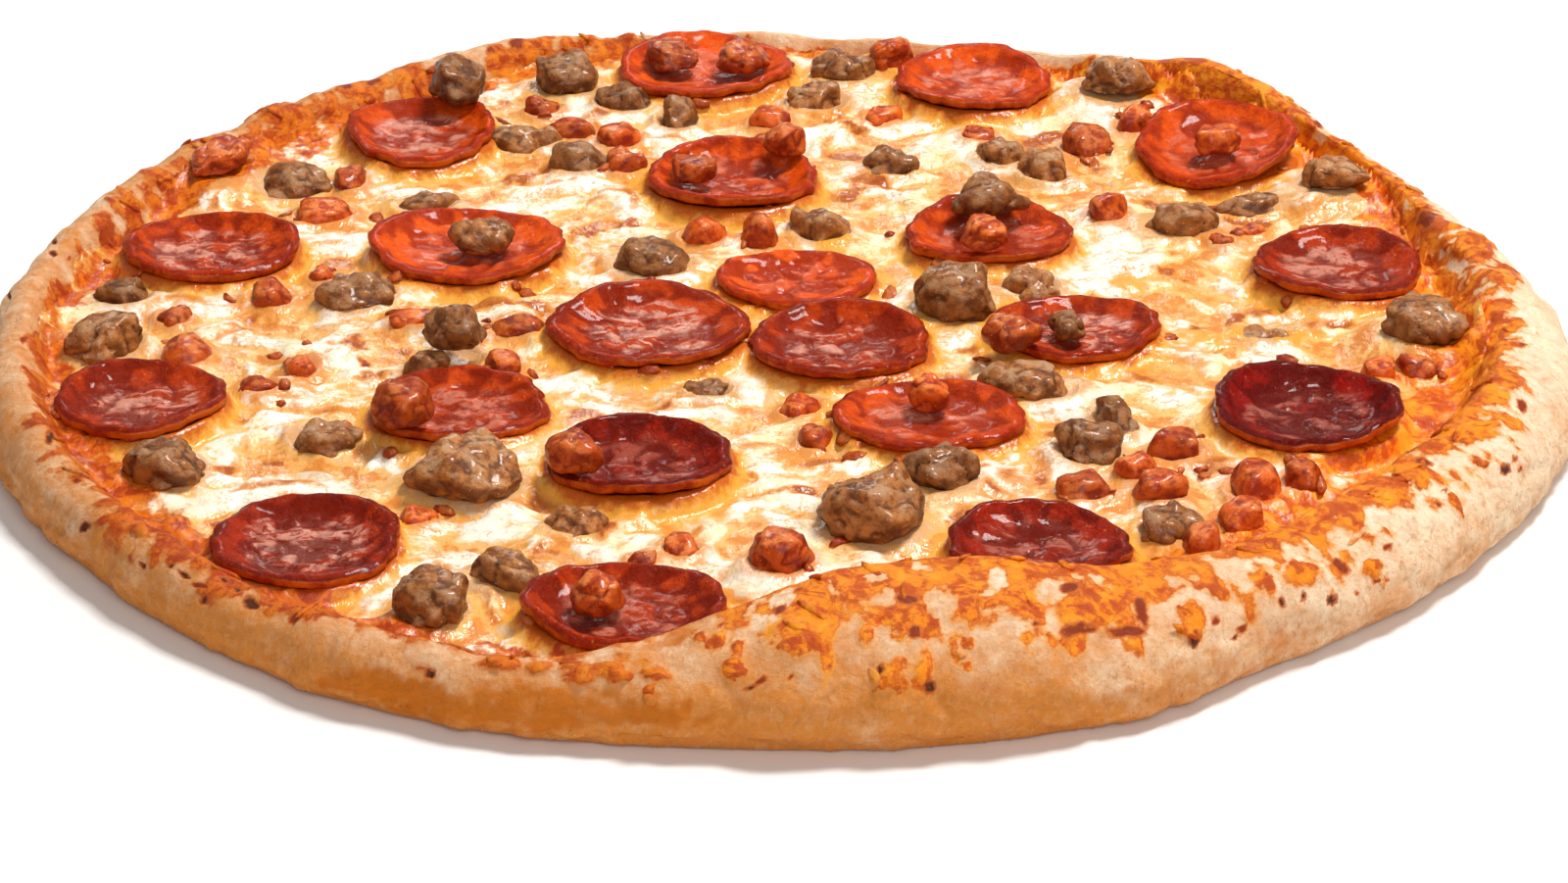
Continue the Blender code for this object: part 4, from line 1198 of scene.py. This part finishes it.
def cheese_material(settings):
    """Melted cheese: creamy white, oily and golden in places, with browned strands."""
    finish = Finish("melted_cheese")
    buttery = finish.band(finish.noise(15, 3, 0.5), 0.45, 0.66)
    cream = finish.mix(buttery, tuple(settings.cream), tuple(settings.butter))
    colour = finish.mix(finish.times(finish.channel("grey"), 0.6), cream, (0.60, 0.40, 0.20))
    for value, *rows in (
        # Golden brown round the sausages: grease from the meat and painted shade at their feet
        (finish.ragged("broth", 3.0, 1.0), (0.25, 1.0, 0.8, (0.66, 0.29, 0.065))),
        (finish.ragged("golden", 3.0, 0.9), (0.2, 1.0, 0.95, (0.82, 0.38, 0.035))),
        (
            finish.ragged("hollow", 4.0, 1.3),
            (0.28, 0.62, 0.9, (0.89, 0.47, 0.12)),
            (0.78, 1.05, 0.85, (0.68, 0.20, 0.024)),
        ),
        (finish.ragged("valley", 2.5, 0.8), (0.30, 0.90, 0.9, (0.74, 0.32, 0.07))),
        (finish.noise(9, 5, 0.65, warp=0.6), (0.53, 0.63, 0.80, (0.88, 0.45, 0.12))),
    ):
        colour = finish.layers(colour, value, *rows)
    strand = finish.math("SUBTRACT", finish.noise(9.0, 3, 0.55, (0.7, 1.2, 1), 2.2), 0.5)
    curl = finish.band(finish.math("ABSOLUTE", strand, 0.0), 0.004, 0.024, 1.0, 0.0)
    curl = finish.times(curl, finish.band(finish.noise(13, 2, 0.5), 0.42, 0.60, 0.0, 0.75))
    colour = finish.mix(curl, colour, (0.70, 0.27, 0.060))
    for value, *rows in (
        (finish.noise(5, 5, 0.7, warp=0.8), (0.56, 0.66, 0.7, (0.80, 0.32, 0.05))),
        (
            finish.ragged("brown", 3.0, 1.2),
            (0.20, 0.65, 0.9, (0.78, 0.29, 0.045)),
            (0.62, 1.05, 0.95, (0.40, 0.080, 0.012)),
        ),
        (finish.ragged("greasy", 3.0, 1.0), (0.20, 0.95, 0.9, (0.74, 0.27, 0.055))),
        (
            finish.ragged("oil", 3.0, 0.9),
            (0.10, 0.60, 0.9, (0.90, 0.42, 0.045)),
            (0.50, 0.92, 0.95, (0.56, 0.100, 0.005)),
        ),
    ):
        colour = finish.layers(colour, value, *rows)
    colour, edge = bake_over(finish, colour)
    roughness = finish.mix(edge, (0.24, 0.24, 0.24), (0.36, 0.36, 0.36))
    fine_bump = finish.bump(finish.noise(1.0, 3, 0.6), 0.2, 0.35)
    normal = finish.bump(finish.noise(3.4, 3, 0.6, (1, 0.6, 1), 0.4), 1.0, 0.6, fine_bump)
    return finish.finish(
        colour, roughness, normal,
        Specular_IOR_Level=0.4, Subsurface_Weight=0.15,
        Subsurface_Radius=(1.0, 0.65, 0.35), Subsurface_Scale=0.002,
    )


def pepperoni_material(settings):
    """Cured sausage slice: deep red lip, a middle with glossy patches painted greyish pink as a painted
    reflection, and an orange-brown wall.
    """
    finish = Finish("pepperoni")
    tone = finish.channel("tone")
    red = finish.mix(tone, tuple(settings.deep), tuple(settings.bright))
    mottled = finish.mix(tone, (0.14, 0.002, 0.001), (0.74, 0.058, 0.002))
    red = finish.mix(finish.band(finish.noise(1.8, 5, 0.7, (1, 1, 1), 0.5), 0.36, 0.72), red, mottled)
    share = finish.ragged("share", 6.0, 0.55)
    reach = finish.band(share, 0.55, 0.72, 1.0, 0.0)
    middle = finish.mix(0.55, red, finish.mix(tone, (0.22, 0.014, 0.005), tuple(settings.middle)))
    colour = finish.mix(reach, red, middle)
    # Glossy patches in the middle; their greyish-pink sheen colour is a painted reflection
    patches = finish.band(finish.noise(8, 6, 0.72, (0.7, 1.4, 1), 1.4), 0.47, 0.52)
    painted_sheen = finish.times(finish.times(finish.channel("sheen"), patches), reach)
    colour = finish.mix(finish.times(painted_sheen, 0.95), colour, tuple(settings.sheen))
    veins = finish.times(finish.band(finish.noise(2.2, 4, 0.7, (1, 1, 1), 1.2), 0.56, 0.64), reach)
    colour = finish.mix(finish.times(veins, 0.7), colour, mottled)
    lip = finish.band(share, 0.80, 0.98, 0.0, 0.8)
    colour = finish.mix(lip, colour, finish.mix(tone, (0.11, 0.002, 0.001), (0.60, 0.036, 0.001)))
    brink = finish.band(finish.ragged("share", 2.0, 0.10), 0.93, 1.00, 0.0, 0.75)
    colour = finish.mix(brink, colour, finish.mix(tone, (0.06, 0.002, 0.001), (0.34, 0.016, 0.001)))
    specks = finish.times(finish.specks(1.5, 0.26), finish.band(finish.noise(5, 2, 0.5), 0.50, 0.62))
    colour = finish.mix(finish.times(specks, 0.5), colour, (0.78, 0.27, 0.06))
    # Darker in the valleys of the wrinkles: painted shade
    deep = finish.band(finish.channel("wrinkle"), -0.45, -0.05, 0.85, 0.0)
    colour = finish.mix(deep, colour, finish.mix(tone, (0.11, 0.003, 0.001), (0.36, 0.021, 0.002)))
    blotch = finish.band(finish.noise(5.5, 4, 0.6), 0.36, 0.66)
    wall = finish.mix(blotch, (0.32, 0.018, 0.002), (0.60, 0.100, 0.005))
    colour = finish.mix(finish.channel("face"), wall, colour)
    dull = finish.band(finish.noise(3, 4, 0.65), 0.35, 0.65, 0.26, 0.46)
    roughness = finish.mix(patches, dull, (0.10, 0.10, 0.10))
    fine = finish.bump(finish.noise(0.7, 3, 0.6), 0.22, 0.5)
    normal = finish.bump(finish.noise(2.6, 5, 0.7, (1, 1, 1), 0.9), 1.1, 0.8, fine)
    return finish.finish(
        colour, roughness, normal,
        Coat_Weight=0.15, Coat_Roughness=0.09, Specular_IOR_Level=0.08, Specular_Tint=(1.0, 0.80, 0.72),
    )


def meat_material(kind, settings):
    """Cooked sausage or bacon: mottled, with a painted highlight on top, painted shade in its creases, on its
    sides and below, and a greasy shine.
    """
    finish = Finish(f"cooked_{kind}")
    mottled = finish.noise(3.0, 5, 0.7)
    colour = finish.mix(finish.band(mottled, 0.40, 0.60), tuple(settings.dark), tuple(settings.light))
    # Pale patches only on faces that look up: a painted highlight
    pale = finish.band(finish.noise(4.0, 5, 0.7), 0.46, 0.60)
    pale = finish.times(pale, finish.band(finish.upward(), 0.2, 0.9))
    colour = finish.mix(finish.times(pale, 0.9), colour, tuple(settings.pale))
    # Faces that look sideways or down get golden seared colour mixed with the below colour: partly real
    # searing, partly painted shade
    side = finish.band(finish.upward(), -0.2, 0.6, 0.8, 0.0)
    golden = finish.band(finish.noise(5, 3, 0.6), 0.42, 0.60)
    golden = finish.mix(golden, tuple(settings.below), tuple(settings.side))
    colour = finish.mix(side, colour, golden)
    # Below colour in the creases: painted shade
    crease = finish.band(finish.channel("crease"), 0.25, 0.85, 0.0, 0.85)
    colour = finish.mix(crease, colour, tuple(settings.below))
    tone = finish.mix(finish.channel("tone"), (0.72, 0.67, 0.62), (1.20, 1.18, 1.15))
    colour = finish.mix(1.0, colour, tone, "MULTIPLY")
    fatty = finish.band(finish.noise(4, 2, 0.5), 0.50, 0.62, 0.0, 0.5)
    colour = finish.mix(finish.times(finish.specks(1.1, 0.22), fatty), colour, tuple(settings.fat))
    roughness = finish.band(finish.noise(1.8, 3, 0.6), 0.3, 0.7, settings.gloss, settings.gloss + 0.22)
    fine = finish.bump(finish.noise(0.8, 4, 0.7, (0.35, 1.3, 1.0), 0.8), 0.35, settings.grain)
    normal = finish.bump(finish.noise(2.4, 5, 0.7), 0.9, settings.grain, fine)
    return finish.finish(
        colour, roughness, normal,
        Coat_Weight=0.24, Coat_Roughness=0.12, Specular_IOR_Level=0.22, Specular_Tint=tuple(settings.shine),
    )


def strew_tree():
    """A node tree that strews bent, sunk grains over a mesh, thicker where an attribute is high."""
    tree = bpy.data.node_groups.new("strew", "GeometryNodeTree")
    rows = (
        ("Geometry", "NodeSocketGeometry"),
        ("Where", "NodeSocketString"),
        ("Density", "NodeSocketFloat"),
        ("Seed", "NodeSocketInt"),
        ("Smallest", "NodeSocketVector"),
        ("Largest", "NodeSocketVector"),
        ("Sink", "NodeSocketFloat"),
        ("Bend", "NodeSocketFloat"),
        ("Bend size", "NodeSocketFloat"),
        ("Material", "NodeSocketMaterial"),
    )
    for label, kind in rows:
        tree.interface.new_socket(name=label, in_out="INPUT", socket_type=kind)
    tree.interface.new_socket(name="Geometry", in_out="OUTPUT", socket_type="NodeSocketGeometry")

    def add(kind, links=None, **values):
        node = tree.nodes.new(kind)
        for key, value in values.items():
            setattr(node, key, value)
        for key, source in (links or {}).items():
            if isinstance(source, bpy.types.NodeSocket):
                tree.links.new(source, node.inputs[key])
            else:
                node.inputs[key].default_value = source
        return node

    given = add("NodeGroupInput").outputs
    where = add("GeometryNodeInputNamedAttribute", {"Name": given["Where"]}, data_type="FLOAT")
    dense = add("ShaderNodeMath", {0: where.outputs["Attribute"], 1: given["Density"]}, operation="MULTIPLY")
    spots = add("GeometryNodeDistributePointsOnFaces", {
        "Mesh": given["Geometry"], "Density": dense.outputs[0], "Seed": given["Seed"],
    })
    grain = add("GeometryNodeMeshUVSphere", {"Segments": 7, "Rings": 5, "Radius": 1.0})
    spin = add("FunctionNodeRandomValue", {"Seed": given["Seed"]}, data_type="FLOAT_VECTOR")
    spin.inputs["Min"].default_value = (0.0, 0.0, -math.pi)
    spin.inputs["Max"].default_value = (0.0, 0.0, math.pi)
    turn = add("FunctionNodeEulerToRotation", {0: spin.outputs["Value"]})
    aim = add("FunctionNodeRotateRotation", {
        0: spots.outputs["Rotation"], 1: turn.outputs[0],
    }, rotation_space="LOCAL")
    size = add("FunctionNodeRandomValue", {
        "Min": given["Smallest"], "Max": given["Largest"], "Seed": given["Seed"],
    }, data_type="FLOAT_VECTOR")
    grains = add("GeometryNodeInstanceOnPoints", {
        "Points": spots.outputs["Points"], "Instance": grain.outputs["Mesh"],
        "Rotation": aim.outputs[0], "Scale": size.outputs["Value"],
    })
    depth = add("ShaderNodeCombineXYZ", {"Z": given["Sink"]})
    sunk = add("GeometryNodeTranslateInstances", {
        "Instances": grains.outputs[0], "Translation": depth.outputs[0], "Local Space": True,
    })
    real = add("GeometryNodeRealizeInstances", {0: sunk.outputs[0]})
    scale = add("ShaderNodeMath", {0: 1.0, 1: given["Bend size"]}, operation="DIVIDE")
    wave = add("ShaderNodeTexNoise", {"Scale": scale.outputs[0], "Detail": 1.0})
    centred = add("ShaderNodeVectorMath", {
        0: wave.outputs["Color"], 1: (0.5, 0.5, 0.5),
    }, operation="SUBTRACT")
    push = add("ShaderNodeVectorMath", {0: centred.outputs[0], "Scale": given["Bend"]}, operation="SCALE")
    bent = add("GeometryNodeSetPosition", {"Geometry": real.outputs[0], "Offset": push.outputs[0]})
    smooth = add("GeometryNodeSetShadeSmooth", {0: bent.outputs[0]})
    dressed = add("GeometryNodeSetMaterial", {"Geometry": smooth.outputs[0], "Material": given["Material"]})
    add("NodeGroupOutput", {0: dressed.outputs[0]})
    return tree


def strew(surface, name, node, slot, material, **inputs):
    """Grains over one finished piece, as a finished piece of its own."""
    tree = strew_tree()
    sockets = [socket for socket in tree.interface.items_tree if socket.in_out == "INPUT"]
    keys = {socket.name: socket.identifier for socket in sockets}
    holder = bpy.data.objects.new(name, surface.data.copy())
    bpy.context.scene.collection.objects.link(holder)
    change = holder.modifiers.new("Strew", "NODES")
    change.node_group = tree
    for label, value in inputs.items():
        change[keys[label.replace("_", " ")]] = value
    change[keys["Material"]] = material
    graph = bpy.context.evaluated_depsgraph_get()
    mesh = bpy.data.meshes.new_from_object(holder.evaluated_get(graph))
    old = holder.data
    bpy.data.objects.remove(holder, do_unlink=True)
    bpy.data.meshes.remove(old)
    piece = bpy.data.objects.new(name, mesh)
    bpy.context.scene.collection.objects.link(piece)
    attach(piece, BODY)
    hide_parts(node)
    return piece


def plain_colour(name, default, note):
    """A colour property."""
    look = {"size": 3, "subtype": "COLOR", "min": 0, "max": 1}
    return FloatVectorProperty(name=name, description=note, default=default, **look)


def plain_size(name, default, note):
    """A size in millimetres, or another plain number."""
    return FloatProperty(name=name, description=note, default=default)


def plain_power(name, default, note):
    """The power of a light, in watts."""
    return FloatProperty(name=name, description=note, default=default, unit="POWER")


class CrustLook(PropertyGroup):
    lumps: plain_size("Lumps", 1.2, "Height of the rim's broad lumps in millimetres")
    dents: plain_size("Dents", 1.2, "Depth of the creases in the rim in millimetres")
    grain: plain_size("Grain", 0.42, "Height of the floury grain in millimetres")
    baked_thick: plain_size("Baked cheese", 0.8, "Thickness of the baked cheese in millimetres")
    pale: plain_colour("Pale dough", (1.0, 0.80, 0.56), "Colour of the palest dough")
    toasted: plain_colour("Toasted dough", (0.70, 0.235, 0.032), "Colour of toasted dough")
    flour: plain_colour("Flour", (0.84, 0.47, 0.18), "Colour of the floury grains on the flank")


class CheeseLook(PropertyGroup):
    strands: plain_size("Strands", 0.7, "Height of the melted strands in millimetres")
    bubbles: plain_size("Bubbles", 1.05, "Height of the bubbles in millimetres")
    lumps: plain_size("Lumps", 0.45, "Height of the broad unevenness in millimetres")
    hug: plain_size("Rise", 1.5, "How high the cheese rises against a topping in millimetres")
    slice_rise: plain_size("Slice rise", 3.2, "How high the cheese may rise to meet a slice in millimetres")
    cream: plain_colour("Cream", (0.98, 0.93, 0.80), "Colour of the palest cheese")
    butter: plain_colour("Butter", (0.94, 0.77, 0.44), "Colour of the yellower cheese")


class PepperoniLook(PropertyGroup):
    cup: plain_size("Cup", 0.6, "How far the face is sunk below the lip in millimetres")
    lip: plain_size("Lip", 0.9, "Height of a lip of ordinary height in millimetres")
    wrinkles: plain_size("Wrinkles", 0.60, "Height of the wrinkles in millimetres")
    ragged: plain_size("Ragged edge", 0.060, "Unevenness of the outline, as a share of its radius")
    middle: plain_colour("Middle", (0.62, 0.070, 0.010), "Colour of the slice's middle")
    # Sheen: colour of the painted reflection on the glossy patches
    sheen: plain_colour("Sheen", (0.76, 0.360, 0.265), "Colour of the greasy patches")
    deep: plain_colour("Deep red", (0.33, 0.006, 0.002), "Colour of the darkest slices")
    bright: plain_colour("Bright red", (0.93, 0.125, 0.005), "Colour of the most orange slices")


class SausageLook(PropertyGroup):
    dark: plain_colour("Dark", (0.23, 0.068, 0.014), "Colour of the darker meat")
    light: plain_colour("Light", (0.49, 0.195, 0.055), "Colour of the lighter meat")
    # Pale: the painted highlight on the upper faces
    pale: plain_colour("Pale", (0.50, 0.285, 0.150), "Colour of the pale patches")
    # Side: colour of the flanks, laid with painted shade on faces that look sideways or down
    side: plain_colour("Side", (0.36, 0.120, 0.016), "Colour of the golden flanks")
    # Below: colour of the painted shade underneath and in creases
    below: plain_colour("Below", (0.10, 0.024, 0.005), "Colour underneath and in creases")
    fat: plain_colour("Fat", (0.80, 0.62, 0.42), "Colour of the fat specks")
    shine: plain_colour("Shine", (1.0, 0.92, 0.84), "Tint of the reflections")
    gloss: plain_size("Gloss", 0.28, "Lowest roughness")
    grain: plain_size("Grain", 0.7, "Strength of the fine bumps")


class BaconLook(PropertyGroup):
    dark: plain_colour("Dark", (0.36, 0.028, 0.002), "Colour of the darker meat")
    light: plain_colour("Light", (0.68, 0.115, 0.008), "Colour of the lighter meat")
    # Pale: the painted highlight on the upper faces
    pale: plain_colour("Pale", (0.82, 0.235, 0.055), "Colour of the pale patches")
    # Side: colour of the flanks, laid with painted shade on faces that look sideways or down
    side: plain_colour("Side", (0.56, 0.080, 0.004), "Colour of the orange flanks")
    # Below: colour of the painted shade underneath and in creases
    below: plain_colour("Below", (0.22, 0.012, 0.002), "Colour underneath and in creases")
    fat: plain_colour("Fat", (0.86, 0.40, 0.16), "Colour of the fat specks")
    shine: plain_colour("Shine", (1.0, 0.82, 0.72), "Tint of the reflections")
    gloss: plain_size("Gloss", 0.26, "Lowest roughness")
    grain: plain_size("Grain", 0.5, "Strength of the fine bumps")


class StageLook(PropertyGroup):
    floor: plain_colour("Floor", (0.93, 0.92, 0.91), "Colour of the plain floor")
    sky: plain_size("Sky", 0.20, "Strength of the surrounding light")
    key: plain_power("Key", 33.0, "Power of the main light in watts")
    sheen: plain_power("Sheen", 2.6, "Power of the low back light in watts")
    fill: plain_power("Fill", 12.0, "Power of the front light in watts")


class PizzaLook(PropertyGroup):
    crust: PointerProperty(type=CrustLook)
    cheese: PointerProperty(type=CheeseLook)
    pepperoni: PointerProperty(type=PepperoniLook)
    sausage: PointerProperty(type=SausageLook)
    bacon: PointerProperty(type=BaconLook)
    stage: PointerProperty(type=StageLook)


class PIZZA_OT_crust(Operator):
    """Build the baked crust"""

    bl_idname = "pizza.crust"
    bl_label = "Crust"

    def execute(self, context):
        make_crust(context.scene.pizza_look.crust, Marks())
        return {"FINISHED"}


class PIZZA_OT_cheese(Operator):
    """Build the melted cheese"""

    bl_idname = "pizza.cheese"
    bl_label = "Cheese"

    def execute(self, context):
        make_cheese(context.scene.pizza_look.cheese, Marks())
        return {"FINISHED"}


class PIZZA_OT_strewn(Operator):
    """Strew shreds of baked cheese, crumbs of bacon and grains of flour"""

    bl_idname = "pizza.strewn"
    bl_label = "Shreds and crumbs"

    def execute(self, context):
        look = context.scene.pizza_look
        crust = bpy.data.objects["baked_crust"]
        cheese = bpy.data.objects["melted_cheese"]
        dough = bpy.data.materials["baked_dough"]
        strew(
            crust, "baked_shreds", "crust", "crust", dough,
            Where="baked", Density=11000.0, Seed=3, Smallest=(0.0014, 0.0006, 0.0004),
            Largest=(0.0044, 0.0012, 0.0007), Sink=-0.0007, Bend=0.0008, Bend_size=0.005,
        )
        strew(
            cheese, "bacon_crumbs", "cheese", "bacon", meat_material("bacon", look.bacon),
            Where="greasy", Density=7000.0, Seed=7, Smallest=(0.0009, 0.0007, 0.0005),
            Largest=(0.0032, 0.0022, 0.0012), Sink=-0.0003, Bend=0.0020, Bend_size=0.0022,
        )
        strew(
            crust, "flour_grains", "crust", "crust", dough,
            Where="crumby", Density=150000.0, Seed=9, Smallest=(0.0001, 0.0001, 0.0001),
            Largest=(0.0005, 0.0004, 0.0003), Sink=0.0, Bend=0.0003, Bend_size=0.0008,
        )
        return {"FINISHED"}


class PIZZA_OT_pepperoni(Operator):
    """Build the pepperoni slices"""

    bl_idname = "pizza.pepperoni"
    bl_label = "Pepperoni"

    def execute(self, context):
        settings = context.scene.pizza_look.pepperoni
        material = pepperoni_material(settings)
        for seed, name in enumerate(nodes_called("pepperoni"), 1):
            make_slice(name, seed, material, settings)
        return {"FINISHED"}


class PIZZA_OT_sausage(Operator):
    """Build the pieces of sausage, loose and stuck in the cheese"""

    bl_idname = "pizza.sausage"
    bl_label = "Sausage"

    def execute(self, context):
        settings = context.scene.pizza_look.sausage
        make_loose_lumps("sausage", settings)
        make_stuck_lumps("sausage", settings)
        return {"FINISHED"}


class PIZZA_OT_bacon(Operator):
    """Build the pieces of bacon and ham, loose and stuck in the cheese"""

    bl_idname = "pizza.bacon"
    bl_label = "Bacon"

    def execute(self, context):
        settings = context.scene.pizza_look.bacon
        make_loose_lumps("bacon", settings)
        make_stuck_lumps("bacon", settings)
        return {"FINISHED"}


def add_area_light(name, place, size, power, colour):
    """A soft square light aimed at the pizza, with its place in metres."""
    light = bpy.data.lights.new(name, "AREA")
    light.shape = "SQUARE"
    light.size = size
    light.energy = power
    light.color = colour
    lamp = bpy.data.objects.new(name, light)
    lamp.location = place
    lamp.rotation_euler = (-Vector(place)).to_track_quat("-Z", "Y").to_euler()
    bpy.context.scene.collection.objects.link(lamp)


class PIZZA_OT_stage(Operator):
    """Add the floor, the lights and the camera"""

    bl_idname = "pizza.stage"
    bl_label = "Stage"

    def execute(self, context):
        look = context.scene.pizza_look.stage
        finish = Finish("plain_floor")
        shade = finish.mix(finish.noise(400, 2, 0.5), tuple(look.floor), tuple(0.985 * c for c in look.floor))
        material = finish.finish(shade, 0.6, finish.bump(finish.noise(3, 2, 0.5), 0.05, 0.1))
        mesh = bpy.data.meshes.new("floor")
        corners = [(FLOOR_HALF * a, FLOOR_HALF * b, 0) for a, b in ((-1, -1), (1, -1), (1, 1), (-1, 1))]
        mesh.from_pydata(corners, [], [(0, 1, 2, 3)])
        mesh.materials.append(material)
        floor = bpy.data.objects.new("floor", mesh)
        context.scene.collection.objects.link(floor)
        world = bpy.data.worlds.new("studio")
        world.use_nodes = True
        world.node_tree.nodes["Background"].inputs["Color"].default_value = (1.0, 0.99, 0.97, 1.0)
        world.node_tree.nodes["Background"].inputs["Strength"].default_value = look.sky
        context.scene.world = world
        for name, (place, size, colour) in LIGHTS.items():
            add_area_light(name, place, size, getattr(look, name), colour)
        camera = bpy.data.cameras.new("camera")
        camera.sensor_width = SENSOR_WIDTH
        camera.lens = FOCAL_PIXELS / PHOTO_WIDTH * SENSOR_WIDTH
        camera.shift_x = (PHOTO_WIDTH / 2 - PHOTO_CENTRE[0]) / PHOTO_WIDTH
        camera.shift_y = (PHOTO_CENTRE[1] - PHOTO_HEIGHT / 2) / PHOTO_WIDTH
        rig = bpy.data.objects.new("camera", camera)
        rig.location = Vector(TO_CAMERA) * CAMERA_DISTANCE * MM
        rig.rotation_euler = (math.radians(90 - CAMERA_ELEVATION), 0, 0)
        context.scene.collection.objects.link(rig)
        context.scene.camera = rig
        context.scene.view_settings.view_transform = "Standard"
        return {"FINISHED"}


class PIZZA_PT_sidebar(Panel):
    """The pizza's pieces in the sidebar"""

    bl_idname = "PIZZA_PT_sidebar"
    bl_label = "Meat pizza"
    bl_space_type = "VIEW_3D"
    bl_region_type = "UI"
    bl_category = "Pizza"

    def draw(self, context):
        for operator in OPERATORS:
            self.layout.operator(operator.bl_idname)


OPERATORS = (
    PIZZA_OT_crust,
    PIZZA_OT_cheese,
    PIZZA_OT_strewn,
    PIZZA_OT_pepperoni,
    PIZZA_OT_sausage,
    PIZZA_OT_bacon,
    PIZZA_OT_stage,
)
CLASSES = (
    CrustLook,
    CheeseLook,
    PepperoniLook,
    SausageLook,
    BaconLook,
    StageLook,
    PizzaLook,
    *OPERATORS,
    PIZZA_PT_sidebar,
)


def register():
    """Register the classes and the scene's settings."""
    for kind in CLASSES:
        bpy.utils.register_class(kind)
    bpy.types.Scene.pizza_look = PointerProperty(type=PizzaLook)


def unregister():
    """Remove the settings and the classes."""
    del bpy.types.Scene.pizza_look
    for kind in reversed(CLASSES):
        bpy.utils.unregister_class(kind)


def main():
    """Build every piece and the stage."""
    register()
    bpy.ops.pizza.crust()
    bpy.ops.pizza.cheese()
    bpy.ops.pizza.strewn()
    bpy.ops.pizza.pepperoni()
    bpy.ops.pizza.sausage()
    bpy.ops.pizza.bacon()
    bpy.ops.pizza.stage()


if __name__ == "__main__":
    main()
